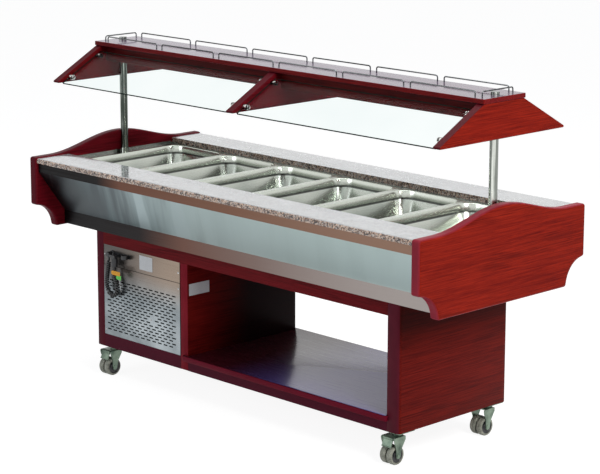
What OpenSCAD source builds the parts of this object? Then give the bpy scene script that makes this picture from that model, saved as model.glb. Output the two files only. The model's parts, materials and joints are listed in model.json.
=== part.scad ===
// Mobile salad bar: a chilled well for six full-size food pans between two shaped end panels,
// on a short wheeled base cabinet, with a glass-sided canopy carried by two posts.
// X runs along the bar, -Y is the front, +Z is up. The origin is on the floor, at the centre.

/* [Counter] */
// Depth over the two stone strips
counter_depth = 868; // [840:2:960]
// Thickness of an end panel
panel_t = 40; // [25:1:50]
// Thickness of the stone strips
granite_t = 20; // [15:1:30]
// Width of one stone strip
granite_w = 158; // [140:1:180]
// Height of the well body, from its underside to the stone
well_h = 260; // [240:1:320]
// How far an end panel hangs below the well body
panel_drop = 7; // [0:1:30]
// How far the tip of an end panel stands above the stone
panel_lip = 5; // [0:1:15]
// Rise of the crest of an end panel over its tips
crest_h = 61; // [30:1:90]
// Half width of the crest of an end panel
crest_half = 350; // [250:5:400]
// Radius of the cove at a lower corner of an end panel
cove_r = 97.5; // [60:0.5:110]
// Radius of the formed edges of the wooden panels
edge_r = 8; // [4:1:9]

/* [Well and pans] */
// Number of pans side by side
pan_count = 6; // [4:1:6]
// Spacing of the pans along the bar
pan_pitch = 325; // [300:1:360]
// From the outermost pans to the end panels
pan_end = 40; // [40:1:60]
// Gap between the rims of neighbouring pans
pan_gap = 1; // [0.5:0.5:4]
// Length of a pan rim across the bar
pan_l = 530; // [500:1:532]
// Depth of a pan
pan_depth = 150; // [65:5:152]
// Width of a pan rim
pan_rim = 11; // [10:0.5:14]
// Height of the stacking shoulder of a pan below its rim
pan_shoulder = 30; // [20:1:40]
// Radius of the upright corners inside a pan
pan_corner = 56; // [40:1:60]
// Sheet thickness of a pan
pan_t = 1.5; // [1:0.1:2]
// Height of the stone underside over the pan rims
rim_drop = 2; // [1.6:0.1:4]
// Width of the ledge that carries the pan rims
ledge_w = 7.5; // [6:0.5:9]
// Clear space from the pan rims to the lip of the well
rim_play = 3; // [1:0.5:5]
// Clear height under the pans
well_gap = 30; // [20:1:36]
// Sheet thickness of the well and the fascias
sheet = 1.5; // [1:0.1:2]
// Width of a cross bar under the pan rims
bar_w = 16; // [10:1:18]
// Height of a cross bar under the pan rims
bar_h = 10; // [6:1:16]
// Height of the lip of the well against an end panel
well_lip = 10; // [6:1:16]

/* [Fascias] */
// Set-back of the fascia from the edge of the stone
fascia_back = 7.5; // [4:0.5:15]
// Height of the upper upright strip of the fascia
fascia_upper = 34; // [20:1:50]
// Height of the lower upright strip of the fascia
fascia_lower = 54; // [30:1:70]
// How far the lower strip of the fascia stands out past the base
fascia_out = 11.5; // [3.5:0.5:30]
// Thickness of the tray that closes the well body
tray_t = 4; // [2:1:6]

/* [Base cabinet] */
// How far the base stands in from the ends of the bar
base_in = 226; // [160:1:260]
// Depth of the base cabinet
base_d = 577; // [560:1:580]
// Height of the base cabinet
base_h = 472; // [420:1:520]
// Thickness of its left end
end_left_t = 44; // [30:1:60]
// Thickness of its right end
end_right_t = 58; // [30:1:70]
// Width of the machine bay
bay_w = 462; // [455:1:500]
// Thickness of the divider beside the machine bay
divider_t = 41; // [20:1:50]
// Height of the top rails
top_rail_h = 51; // [40:1:60]
// Height of the rails under the machine bay
bay_rail_h = 52; // [40:1:54]
// Thickness of the rails
rail_t = 20; // [16:1:24]
// Thickness of the boards that close the base above and below
board_t = 18; // [12:1:22]
// Height of the shelf top above the underside of the base
shelf_up = 60; // [50:1:70]
// Thickness of the shelf
shelf_t = 22; // [18:1:28]
// How far the nose of the shelf stands out in front
nose_out = 15; // [8:1:25]
// How far the nose of the shelf runs across the divider
nose_left = 23; // [10:1:28]
// How far the nose of the shelf runs across the right end
nose_right = 7; // [2:1:14]

/* [Machine bay] */
// Thickness of the sheet panels in front of and behind the bay
bay_panel_t = 4; // [2:0.5:5]
// Set-back of the sheet panels
bay_panel_in = 1; // [0:0.5:4]
// Side of the square cleats behind the sheet panels
cleat = 15; // [12:1:18]
// Gap at the right of the sheet panels
bay_panel_gap = 5; // [1:1:6]
// Height of the seam above the underside of the bay panels
seam_up = 287; // [280:1:300]
// Length of a slot in the grille
slot_l = 22; // [12:1:26]
// Height of a slot in the grille
slot_h = 5; // [3:0.5:7]
// Spacing of the slots along a row
slot_pitch = 34; // [32:1:40]
// Spacing of the rows of slots
slot_rows_pitch = 12; // [10:0.5:14]
// Number of rows of slots
slot_rows = 18; // [10:1:18]
// Diameter of the panel screws
screw_d = 8; // [5:0.5:10]
// Outside radius of the fan
fan_r = 95; // [60:1:100]

/* [Canopy] */
// Height of the canopy board above the stone
canopy_rise = 423; // [380:1:500]
// Thickness of the canopy board
canopy_t = 17; // [12:1:25]
// Edge radius of the canopy board and the wings
crisp_r = 2.5; // [1.5:0.5:4]
// How far the canopy board ends inside the ends of the bar
canopy_in = 15; // [5:1:20]
// Depth of the canopy board
canopy_d = 221; // [216:1:240]
// How far the canopy board stands out past the wings
canopy_over = 3.5; // [1:0.5:8]
// Thickness of a wing
wing_t = 33; // [25:1:40]
// Half width of a wing at its top
wing_top = 104; // [100:1:106]
// Half width of a wing to the points of its tips
wing_tip = 340; // [325:1:350]
// Height of a wing
wing_h = 130; // [120:1:150]
// Thickness of the centre support
centre_t = 36; // [25:1:45]
// Depth of the lamp beam
beam_d = 160; // [140:2:170]
// Height of the lamp beam
beam_h = 63; // [50:1:75]
// Diameter of the posts
post_d = 31; // [25:1:33]
// Distance from an end panel to the axis of its post
post_in = 21.5; // [19:0.5:22]
// How far a post stands above the canopy board
post_up = 11; // [4:1:14]
// Wall of a post
post_wall = 2; // [1.5:0.5:3]
// Height of a post collar
collar_h = 19.5; // [10:0.5:30]
// Radial clearance of a post in its sleeve and holes
post_fit = 0.05; // [0.03:0.01:0.1]

/* [Glass] */
// Thickness of the panes
glass_t = 6; // [4:0.5:8]
// Half depth at the upper edge of the panes
glass_top = 112; // [108:1:116]
// Half depth at the lower edge of the panes
glass_low = 308; // [290:1:312]
// Upper edge of the panes below the canopy board
glass_down = 24; // [10:1:26]
// Height of the panes, measured upright
glass_fall = 108; // [100:1:112]
// Gap between a pane and the wood beside it
glass_gap = 4; // [2:0.5:8]
// Diameter of a glass clamp
clamp_d = 21; // [16:1:24]
// Length of a glass clamp
clamp_l = 25; // [15:1:35]

/* [Gallery] */
// Diameter of the gallery wire
wire_d = 5; // [3:0.5:8]
// Height of the wire above the canopy board
gallery_h = 20; // [18:1:30]
// Number of rails along a side
gallery_n = 6; // [3:1:8]
// Gap between two rails along a side
gallery_gap = 32; // [20:1:120]
// Distance from the ends of the canopy board to the row of rails, less half a gap
gallery_ends = 44; // [36:1:60]
// Distance from the long rails to the edge of the canopy board
gallery_in = 22; // [14:1:26]
// Distance from the edge of the canopy board to the uprights of an end rail
gallery_side = 30.5; // [28:0.5:60]
// Bend radius of the gallery wire
bend_r = 8; // [6:1:10]

/* [Casters] */
// Overall height of a caster
caster_h = 120; // [118:1:130]
// Diameter of a wheel
wheel_d = 70; // [60:1:76]
// Width of a wheel
wheel_w = 25; // [15:1:30]
// Gap between the twin wheels
wheel_gap = 6; // [4:1:12]
// Trail of the wheel axle behind the swivel
trail = 30; // [20:1:32]
// Swivel axes from the ends of the base
caster_end = 49; // [46:1:120]
// Swivel axes from the front and rear of the base
caster_side = 48.5; // [43:0.5:90]
// Thickness of a fork arm
fork_t = 3; // [2:0.5:5]
// Radius of the axle
axle_r = 5; // [4:0.5:6]
// Radial running clearance of the axles, pivots and pins
run_fit = 0.05; // [0.03:0.01:0.1]

/* [Cord] */
// Diameter of the cord
cord_d = 7; // [6:0.5:7.5]
// Outer diameter of the curls
curl_d = 19; // [18:0.5:22]
// Advance of one curl where the coil runs straight
curl_pitch = 7.9; // [7.8:0.1:10]
// Extra radius at which the curls keep their advance inside a bend
curl_spread = 1.5; // [1.2:0.1:4]
// Distance of the cord from the front plane of the base
cord_out = 17.5; // [16:0.5:24]

/* [Hidden] */
$fn = 48;

// Colours
wood = [0.45, 0.07, 0.07];
stone = [0.62, 0.52, 0.50];
steel = [0.72, 0.74, 0.78];
chrome = [0.82, 0.84, 0.87];
zinc = [0.45, 0.49, 0.45];
dark = [0.12, 0.12, 0.13];
grey = [0.45, 0.45, 0.46];

// Levels
z_base = caster_h;
z_well = z_base + base_h;
z_under = z_well + well_h;
z_top = z_under + granite_t;
z_rim = z_under - rim_drop;
z_ledge = z_rim - pan_t;
z_floor = z_rim - pan_depth - well_gap;
z_canopy = z_top + canopy_rise;
z_canopy_top = z_canopy + canopy_t;
z_opening_top = z_well - top_rail_h;
z_shelf = z_base + shelf_up;
z_bay = z_base + bay_rail_h;

// Places along the bar
bar_length = pan_count * pan_pitch + 2 * (pan_end + panel_t);
base_l = bar_length - 2 * base_in;
canopy_l = bar_length - 2 * canopy_in;
gallery_pitch = (canopy_l - 2 * gallery_ends) / gallery_n;
gallery_l = gallery_pitch - gallery_gap;
caster_x = base_l / 2 - caster_end;
x_panel = bar_length / 2 - panel_t;
x_well = pan_count * pan_pitch / 2 - ledge_w;
x_post = x_panel - post_in;
x_wing = canopy_l / 2 - canopy_over - wing_t;
x_bay = -base_l / 2 + end_left_t;
x_divider = x_bay + bay_w;
x_open = x_divider + divider_t;
x_open_end = base_l / 2 - end_right_t;
x_panel_end = x_divider - bay_panel_gap;
bay_panel_l = x_panel_end - x_bay;

// Places across the bar
y_counter = counter_depth / 2;
y_granite = y_counter - granite_w;
y_well = pan_l / 2 - ledge_w;
y_lip = pan_l / 2 + rim_play;
y_fascia = y_counter - fascia_back;
y_base = base_d / 2;
fascia_half = y_base + fascia_out;
caster_y = y_base - caster_side;
gallery_end = canopy_d / 2 - gallery_side;
y_bay = y_base - bay_panel_in;
y_bay_back = y_bay - bay_panel_t;
y_rail = y_base - rail_t;

// Machines inside the bay
coil_r = 5;
coil_runs = 5;
coil_pitch = 100;
coil_end = 32.5;
coil_half = x_well - coil_pitch / 2 - coil_r - coil_end;
z_coil = z_floor - sheet - coil_r;
pipe_x = x_bay + 185;
pipe_clear = 1;
drain_x = x_bay + 335;
drain_y = 150;
drain_r = 16;
drain_wall = 3;
drain_flange = 8;
drain_cap = 4;
drain_down = 60;
z_bay_floor = z_base + board_t;
comp_r = 85;
comp_h = 180;
comp_up = 16;
comp_foot_r = 10;
cond_x = x_bay + 85;
cond_l = 220;
cond_front = y_bay_back - 20;
cond_t = 30;
cond_h = 270;
cond_up = 14;
cond_fin_t = 1.5;
cond_pipe_r = 4;
fan_x = cond_x + cond_l / 2;
fan_z = z_bay_floor + 142;
fan_y = cond_front - cond_t - 10;
fan_w = 22;
shaft_r = 4;
z_seam = z_bay + seam_up;

// Blank plates on the service cover and on the divider
label_t = 1;
plate_x = x_bay + 220;
plate_l = 77;
plate_h = 57;
plate_up = 15;
side_plate_in = 8.5;
side_plate_l = 103;
side_plate_h = 46;
side_plate_down = 79;

// Controls behind the machine bay
knob_x = x_panel_end - 112;
rocker_x = x_panel_end - 42;
control_z = z_opening_top - 51;
knob_r = 18;
knob_l = 15;
knob_shaft_r = 3;
rocker_r = 8;
rocker_l = 22;
rocker_gap = 0.4;
rocker_pin_r = 1.5;
rocker_proud = 4;
rocker_y = y_bay + rocker_proud - 4;

// Posts
socket_deep = 226;
socket_end = 3;
socket_wall = 2;

// Casters
swivel_gap = 0.5;
plate_t = 4;
pin_r = 6;
race_h = 4;
race_r = 20;
neck_h = 13.5;
neck_r = 14;
fork_plate_t = 4;
fork_in = wheel_gap / 2 + wheel_w + 2;
fork_rear = 6;
fork_hub = 11;
z_fork_top = caster_h - plate_t - swivel_gap;
z_fork_plate = z_fork_top - neck_h;
pedal_y = -trail - 16;
pedal_z = z_fork_plate - 6;
pedal_r = 5;
pedal_pin_r = 2.5;
pedal_half = 22;
pedal_t = 3;
pedal_roll = 2.5;
pedal_tilt = 24;
pedal_l = (pedal_z - wheel_d + 1) / cos(pedal_tilt);

// Cord
cord_y = -(y_base + cord_out);
tag_y = cord_y - 12;
gland_x = x_bay + 54;
gland_z = z_opening_top - 31;
gland_end = gland_z - 12;
plug_x = x_bay + 88;
plug_z = z_opening_top - 91;
plug_top = z_opening_top - 38;

// ---------------------------------------------------------------- helpers

function arc(c, r, a0, a1, n) =
    [for (i = [0:n]) let (a = a0 + (a1 - a0) * i / n) c + r * [cos(a), sin(a)]];

function round_rect(hx, hy, r, n) = concat(
    arc([hx - r, hy - r], r, 0, 90, n),
    arc([-hx + r, hy - r], r, 90, 180, n),
    arc([-hx + r, -hy + r], r, 180, 270, n),
    arc([hx - r, -hy + r], r, 270, 360, n));

function unit(v) = v / norm(v);

// Outward normals of a counterclockwise outline
function edge_normal(a, b) = unit([b[1] - a[1], a[0] - b[0]]);
function point_normal(pts, i) =
    let (n = len(pts), p = pts[(i + n - 1) % n], q = pts[i], s = pts[(i + 1) % n])
    let (m = unit(edge_normal(p, q) + edge_normal(q, s)))
    m / max(0.5, m * edge_normal(q, s));
function inset(pts, d) = [for (i = [0:len(pts) - 1]) pts[i] - d * point_normal(pts, i)];

function mean(pts) = [for (p = pts) 1] * pts / len(pts);

// A closed skin over a stack of rings that have the same number of points. Each end is a fan from
// the middle of its ring, so the rings may be hollow outlines as long as the middle sees all of them.
module loft(rings) {
    n = len(rings[0]);
    m = len(rings);
    last = (m - 1) * n;
    polyhedron(
        points = concat([for (ring = rings) each ring], [mean(rings[0]), mean(rings[m - 1])]),
        faces = concat(
            [for (i = [0:n - 1]) [m * n, i, (i + 1) % n]],
            [for (i = [0:n - 1]) [m * n + 1, last + (i + 1) % n, last + i]],
            [for (k = [0:m - 2], i = [0:n - 1]) [k * n + i, (k + 1) * n + i, k * n + (i + 1) % n]],
            [for (k = [0:m - 2], i = [0:n - 1])
                [k * n + (i + 1) % n, (k + 1) * n + i, (k + 1) * n + (i + 1) % n]]),
        convexity = 6);
}

// A flat board with formed edges, from z = 0 to z = t
module formed_board(pts, t, r) {
    steps = 3;
    half = [for (k = [0:steps]) let (a = 90 * k / steps) [r * (1 - sin(a)), r * (1 - cos(a))]];
    levels = concat(half, [for (k = [steps:-1:0]) [half[k][0], t - half[k][1]]]);
    loft([for (l = levels) [for (p = inset(pts, l[0])) [p[0], p[1], l[1]]]]);
}

// Stand an outline given as [y, z] up and run it along X
module along_x(l) rotate([90, 0, 90]) linear_extrude(height = l, center = true) children();

// A round bar along X or Y
module bar_x(r, l) rotate([0, 90, 0]) cylinder(r = r, h = l, center = true);
module bar_y(r, l) rotate([90, 0, 0]) cylinder(r = r, h = l, center = true);

// A block between two corners
module block(a, b) translate(a) cube(b - a);

module both_ends() for (s = [0, 1]) mirror([s, 0, 0]) children();
module both_sides() for (s = [0, 1]) mirror([0, s, 0]) children();

// ---------------------------------------------------------------- counter

// Half of the outline of an end panel, counterclockwise from the middle of its lower edge
function panel_half() =
    let (b = z_well - panel_drop, t = z_top + panel_lip, r = edge_r + 2, steps = 14)
    concat(
        arc([y_counter + 6 - cove_r - r, b + r], r, 270, 360, 4),
        arc([y_counter + 6, b], cove_r, 172, 98, 9),
        arc([y_counter + 6 - r, b + cove_r + r], r, 270, 360, 4),
        arc([y_counter + 6 - r, t - r], r, 0, 90, 4),
        [for (i = [0:steps - 1]) let (y = crest_half * (1 - i / steps))
            [y, t + crest_h * (1 + cos(180 * y / crest_half)) / 2]]);

function panel_outline() =
    let (h = panel_half(), n = len(h), t = z_top + panel_lip)
    concat(h, [[0, t + crest_h]], [for (i = [n - 1:-1:0]) [-h[i][0], h[i][1]]]);

module end_panel() color(wood)
    translate([x_panel, 0, 0]) rotate([90, 0, 90]) formed_board(panel_outline(), panel_t, edge_r);

module end_panel_left() mirror([1, 0, 0]) end_panel();
module end_panel_right() end_panel();

module granite_strips() color(stone) both_sides() along_x(2 * x_panel) polygon(concat(
    [[-y_granite, z_under], [-y_granite, z_top]],
    arc([-y_counter + 8, z_top - 8], 8, 90, 180, 5),
    arc([-y_counter + 4, z_under + 4], 4, 180, 270, 4)));

module well_tub() color(steel) difference() {
    union() {
        difference() {
            block([-x_well - sheet, -y_well - sheet, z_floor - sheet],
                [x_well + sheet, y_well + sheet, z_ledge - sheet / 2]);
            block([-x_well, -y_well, z_floor], [x_well, y_well, z_top]);
        }
        difference() {
            block([-x_panel, -y_lip - sheet, z_ledge - sheet], [x_panel, y_lip + sheet, z_ledge]);
            block([-x_well, -y_well, 0], [x_well, y_well, z_top]);
        }
        both_sides() block([-x_panel, y_lip, z_ledge - sheet / 2], [x_panel, y_lip + sheet, z_under]);
        both_sides() block([-x_panel, y_lip, z_under - sheet], [x_panel, y_granite + 14, z_under]);
        both_ends() block([x_panel - sheet, -y_lip, z_ledge - sheet / 2],
            [x_panel, y_lip, z_ledge + well_lip]);
    }
    both_ends() translate([x_post, 0, 0]) cylinder(r = post_d / 2 + socket_wall, h = z_top);
    translate([drain_x, drain_y, 0]) cylinder(r = drain_r, h = z_top);
}

// Half depth of the outside of the fascia at a height on its slant
z_slant_low = z_well + fascia_lower;
z_slant_top = z_under - fascia_upper;
slant = (y_fascia - fascia_half) / (z_slant_top - z_slant_low);
foam_in = 5.5;

module well_insulation() color([0.9, 0.85, 0.6]) difference() {
    along_x(2 * x_panel) polygon([
        [-fascia_half + foam_in, z_well + tray_t],
        [fascia_half - foam_in, z_well + tray_t],
        [fascia_half - foam_in, z_slant_low],
        [y_fascia - 26, z_slant_low + (y_fascia - 26 - fascia_half + foam_in) / slant],
        [y_fascia - 26, z_ledge - sheet - 2],
        [-y_fascia + 26, z_ledge - sheet - 2],
        [-y_fascia + 26, z_slant_low + (y_fascia - 26 - fascia_half + foam_in) / slant],
        [-fascia_half + foam_in, z_slant_low]]);
    block([-x_well - sheet, -y_well - sheet, z_floor - sheet - 2 * coil_r],
        [x_well + sheet, y_well + sheet, z_top]);
    both_ends() translate([x_post, 0, z_ledge - socket_deep - 4])
        cylinder(r = post_d / 2 + socket_wall + 0.5, h = socket_deep + 10);
    both_ends() block([x_post, -10, z_ledge - socket_deep - 4], [x_panel + 1, 10, z_top]);
    translate([drain_x, drain_y, 0]) cylinder(r = drain_r + pipe_clear, h = z_top);
    translate([pipe_x, 0, 0]) cylinder(r = coil_r + pipe_clear, h = z_top);
}

module fascias() color(steel) both_sides() along_x(2 * x_panel) {
    corner = sheet * (sqrt(1 + slant * slant) - 1) / slant;
    polygon([
        [y_fascia, z_under],
        [y_fascia - 26, z_under],
        [y_fascia - 26, z_under - sheet],
        [y_fascia - sheet, z_under - sheet],
        [y_fascia - sheet, z_slant_top + corner],
        [fascia_half - sheet, z_slant_low + corner],
        [fascia_half - sheet, z_well],
        [fascia_half, z_well],
        [fascia_half, z_slant_low],
        [y_fascia, z_slant_top]]);
}

module well_tray() color(steel) difference() {
    block([-x_panel, -fascia_half + sheet, z_well], [x_panel, fascia_half - sheet, z_well + tray_t]);
    service_holes();
}

// Holes for the drain and the pipe through the boards between the well and the machine bay
module service_holes() {
    translate([drain_x, drain_y, 0]) cylinder(r = drain_r + pipe_clear, h = z_top);
    translate([pipe_x, 0, 0]) cylinder(r = coil_r + pipe_clear, h = z_top);
}

// ---------------------------------------------------------------- pans

// Each step is [how far in from the rim, height above the pan's underside, corner radius]
module pan(i) {
    wall = pan_rim;
    shoulder = pan_depth - pan_shoulder;
    r = pan_corner;
    outer = [[wall + 25, 0, r - 16], [wall + 17, 3, r - 12], [wall + 12, 11, r - 8],
        [wall + 3, shoulder - 3, r - 2], [wall, shoulder, r], [wall, pan_depth - pan_t, r],
        [0, pan_depth - pan_t, 24]];
    inner = [[0, pan_depth, 24], [wall + pan_t, pan_depth, r], [wall + pan_t, shoulder, r],
        [wall + 3 + pan_t, shoulder - 3, r - 2], [wall + 12 + pan_t, 12, r - 8],
        [wall + 18 + pan_t, 3 + pan_t, r - 12], [wall + 25 + pan_t, pan_t, r - 16]];
    hx = (pan_pitch - pan_gap) / 2;
    color(steel) translate([(i - (pan_count + 1) / 2) * pan_pitch, 0, z_rim - pan_depth])
        loft([for (s = concat(outer, inner))
            [for (p = round_rect(hx - s[0], pan_l / 2 - s[0], s[2], 5)) [p[0], p[1], s[1]]]]);
}

module pan_bars() color(steel) for (i = [1:pan_count - 1])
    translate([(i - pan_count / 2) * pan_pitch, 0, 0])
        block([-bar_w / 2, -y_well, z_ledge - bar_h], [bar_w / 2, y_well, z_ledge]);

// ---------------------------------------------------------------- cooling

module evaporator_coil() color([0.72, 0.45, 0.3]) {
    translate([0, 0, z_coil]) for (k = [0:coil_runs - 1]) {
        y = (k - (coil_runs - 1) / 2) * coil_pitch;
        translate([0, y, 0]) bar_x(coil_r, 2 * coil_half);
        if (k < coil_runs - 1)
            translate([(k % 2 == 0 ? 1 : -1) * coil_half, y + coil_pitch / 2, 0])
                rotate([0, 0, k % 2 == 0 ? -90 : 90])
                    rotate_extrude(angle = 180) translate([coil_pitch / 2, 0]) circle(r = coil_r);
    }
    pipe_low = z_bay_floor + comp_up + comp_h;
    translate([pipe_x, 0, pipe_low]) cylinder(r = coil_r, h = z_coil - pipe_low);
}

module well_drain() color(grey) translate([drain_x, drain_y, 0]) difference() {
    low = z_opening_top - drain_down;
    union() {
        translate([0, 0, z_floor]) cylinder(r = drain_r + drain_flange, h = sheet);
        translate([0, 0, low]) cylinder(r = drain_r, h = z_floor + sheet - low);
        translate([0, 0, low - drain_r]) cylinder(r = drain_r + drain_cap, h = drain_r + drain_cap);
    }
    translate([0, 0, low]) cylinder(r = drain_r - drain_wall, h = z_top);
}

module compressor() color(dark) translate([pipe_x, 0, z_bay_floor]) {
    foot_x = comp_r - comp_foot_r / 2;
    foot_y = comp_r - 3 * comp_foot_r;
    profile = [[0, 0], [0.82, 0], [0.95, 0.07], [1, 0.22], [1, 0.6], [0.94, 0.75], [0.74, 0.89],
        [0.35, 0.98], [0.18, 1], [0, 1]];
    translate([0, 0, comp_up])
        rotate_extrude() polygon([for (p = profile) [comp_r * p[0], comp_h * p[1]]]);
    block([-foot_x - comp_foot_r - 4, -foot_y - comp_foot_r - 4, comp_up - 4],
        [foot_x + comp_foot_r + 4, foot_y + comp_foot_r + 4, comp_up + 2]);
    for (x = [-foot_x, foot_x], y = [-foot_y, foot_y])
        translate([x, y, 0]) cylinder(r = comp_foot_r, h = comp_up);
}

module condenser() color(grey) {
    fins = 24;
    runs = 6;
    low = z_bay_floor + cond_up;
    high = low + cond_h;
    for (k = [0:fins]) {
        x = cond_x + k * (cond_l - cond_fin_t) / fins;
        last = k == 0 || k == fins;
        block([x, -cond_front, last ? z_bay_floor : low],
            [x + cond_fin_t, -cond_front + cond_t, high]);
    }
    for (k = [0.5:runs], y = [0.3, 0.7])
        translate([cond_x + cond_l / 2, -cond_front + y * cond_t, low + k * cond_h / runs])
            bar_x(cond_pipe_r, cond_l + 2 * cond_pipe_r);
}

module fan_motor() color(dark) {
    translate([fan_x, -fan_y + fan_w + 26, fan_z]) bar_y(32, 44);
    translate([fan_x, -fan_y + 24, fan_z]) bar_y(shaft_r, 48);
    block([fan_x - 25, -fan_y + fan_w + 15, z_bay_floor], [fan_x + 25, -fan_y + fan_w + 30, fan_z]);
}

module fan_blades() color(grey) translate([fan_x, -fan_y + fan_w / 2, fan_z]) {
    difference() {
        union() {
            bar_y(16, fan_w);
            for (a = [0:72:288]) rotate([0, a, 0])
                translate([12, -1, -20]) rotate([24, 0, 0]) cube([fan_r - 12, 2, 38]);
        }
        bar_y(shaft_r + run_fit, 60);
    }
}

// ---------------------------------------------------------------- base cabinet

// A cabinet end whose outer upright corners are rounded
module cabinet_end(t, r) linear_extrude(height = base_h) polygon(concat(
    [[0, -y_base]],
    arc([t - r, -y_base + r], r, 270, 360, 5),
    arc([t - r, y_base - r], r, 0, 90, 5),
    [[0, y_base]]));

module base_end_left() color(wood)
    translate([x_bay, 0, z_base]) mirror([1, 0, 0]) cabinet_end(end_left_t, 6);

module base_end_right() color(wood)
    translate([x_open_end, 0, z_base]) cabinet_end(end_right_t, 14);

module base_divider() color(wood)
    block([x_divider, -y_base, z_base], [x_open, y_base, z_opening_top]);

module base_rails() color(wood) {
    both_sides() {
        block([x_bay, y_rail, z_opening_top], [x_open_end, y_base, z_well]);
        block([x_bay, y_rail, z_base], [x_divider, y_base, z_bay]);
        block([x_open, y_rail, z_base], [x_open_end, y_base, z_shelf - shelf_t]);
        block([x_bay, y_bay_back - cleat, z_bay], [x_bay + cleat, y_bay_back, z_opening_top]);
        block([x_divider - cleat, y_bay_back - cleat, z_bay], [x_divider, y_bay_back, z_opening_top]);
    }
    difference() {
        block([x_bay, -y_rail, z_opening_top], [x_open_end, y_rail, z_opening_top + board_t]);
        service_holes();
    }
}

// Front half of the shelf's outline, from the divider to the right end
function shelf_half() = let (r = 10, y = y_base + nose_out) concat(
    [[x_open, -y_base], [x_open - nose_left, -y_base]],
    arc([x_open - nose_left + r, -y + r], r, 180, 270, 5),
    arc([x_open_end + nose_right - r, -y + r], r, 270, 360, 5),
    [[x_open_end + nose_right, -y_base], [x_open_end, -y_base]]);

module base_shelf() color([0.40, 0.20, 0.22]) translate([0, 0, z_shelf - shelf_t])
    linear_extrude(height = shelf_t) {
        half = shelf_half();
        polygon(concat(half, [for (i = [len(half) - 1:-1:0]) [half[i][0], -half[i][1]]]));
    }

module base_bottom() color(wood) {
    block([x_bay, -y_rail, z_base], [x_divider, y_rail, z_bay_floor]);
    block([x_open, -y_rail, z_base], [x_open_end, y_rail, z_bay_floor]);
}

// ---------------------------------------------------------------- machine bay panels

module service_cover() color(grey)
    block([x_bay, -y_bay, z_seam], [x_panel_end, -y_bay_back, z_opening_top]);

// Staggered slots, in the plane of the panel
module slots(rows) {
    columns = floor((bay_panel_l - 2 * cleat - slot_l / 2 - 8) / slot_pitch);
    for (j = [0:rows - 1], k = [0:columns - 1]) {
        x = cleat + 4 + k * slot_pitch + (j % 2) * slot_pitch / 2;
        if (abs(j - 7) > 1 || abs(x - bay_panel_l * 0.62 + 5) > 16)
            translate([x, 22 + j * slot_rows_pitch]) square([slot_l, slot_h]);
    }
}

module bay_sheet(h) translate([x_bay, 0, z_bay]) rotate([90, 0, 0])
    linear_extrude(height = bay_panel_t) difference() {
        square([bay_panel_l, h]);
        children();
    }

module service_grille() color(grey)
    translate([0, -y_bay_back, 0]) bay_sheet(seam_up) slots(slot_rows);

module rear_panel() color(grey)
    translate([0, y_bay, 0]) bay_sheet(z_opening_top - z_bay) {
        slots(slot_rows);
        translate([knob_x - x_bay, control_z - z_bay]) circle(r = knob_shaft_r + 2);
        translate([rocker_x - x_bay - rocker_l / 2 - 3, control_z - z_bay - rocker_r - 3])
            square([rocker_l + 6, 2 * rocker_r + 6]);
    }

module control_box() color(dark) {
    deep = 40;
    hx = rocker_l / 2 + rocker_gap;
    hz = rocker_r + rocker_gap;
    difference() {
        union() {
            block([knob_x - 24, y_bay_back - deep, control_z - 26],
                [rocker_x + 22, y_bay_back, control_z + 26]);
            block([rocker_x - hx - 2.5, y_bay_back - 1, control_z - hz - 2.5],
                [rocker_x + hx + 2.5, y_bay + rocker_proud, control_z + hz + 2.5]);
            translate([knob_x, y_bay_back - 1, control_z]) rotate([-90, 0, 0])
                cylinder(r = knob_shaft_r, h = y_bay + 6 - y_bay_back + 1);
        }
        block([rocker_x - hx, rocker_y - rocker_r - rocker_gap, control_z - hz],
            [rocker_x + hx, y_bay + 30, control_z + hz]);
    }
    translate([rocker_x, rocker_y, control_z]) both_ends()
        translate([hx - 1, 0, 0]) bar_x(rocker_pin_r, 4);
}

// A drum with a flat front that rocks on two short pins
module power_rocker() color([0.1, 0.1, 0.1]) translate([rocker_x, rocker_y, control_z])
    difference() {
        bar_x(rocker_r, rocker_l);
        block([-rocker_l, 5, -rocker_r - 1], [rocker_l, rocker_r + 1, rocker_r + 1]);
        both_ends() translate([rocker_l / 2, 0, 0]) bar_x(rocker_pin_r + run_fit, 7);
    }

// A round knob with a grip bar across its face
module thermostat_knob() color([0.1, 0.1, 0.1])
    translate([knob_x, y_bay + 0.5, control_z]) difference() {
        union() {
            translate([0, 3, 0]) bar_y(knob_r, 6);
            block([-4, 5, -knob_r + 2], [4, knob_l, knob_r - 2]);
        }
        bar_y(knob_shaft_r + run_fit, 14);
    }

module panel_screws() color(steel) {
    front = [[x_bay + 8, z_seam + 43], [x_panel_end - 8, z_seam + 40], [x_panel_end - 8, z_seam - 23],
        [x_bay + 8, z_bay + 20], [x_bay + 286, z_bay + 109]];
    back = [[x_bay + 8, z_bay + 20], [x_panel_end - 8, z_bay + 20], [x_bay + 8, z_opening_top - 20],
        [x_panel_end - 8, z_opening_top - 20]];
    for (p = front) translate([p[0], -y_bay, p[1]]) rotate([90, 0, 0])
        cylinder(r1 = screw_d / 2, r2 = screw_d / 2 - 1.2, h = 2);
    for (p = back) translate([p[0], y_bay, p[1]]) rotate([-90, 0, 0])
        cylinder(r1 = screw_d / 2, r2 = screw_d / 2 - 1.2, h = 2);
}

module blank_plates() color([0.85, 0.85, 0.84]) {
    block([plate_x, -y_bay - label_t, z_seam + plate_up],
        [plate_x + plate_l, -y_bay, z_seam + plate_up + plate_h]);
    block([x_open, -y_base + side_plate_in, z_opening_top - side_plate_down - side_plate_h],
        [x_open + label_t, -y_base + side_plate_in + side_plate_l, z_opening_top - side_plate_down]);
}

// ---------------------------------------------------------------- cord

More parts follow.
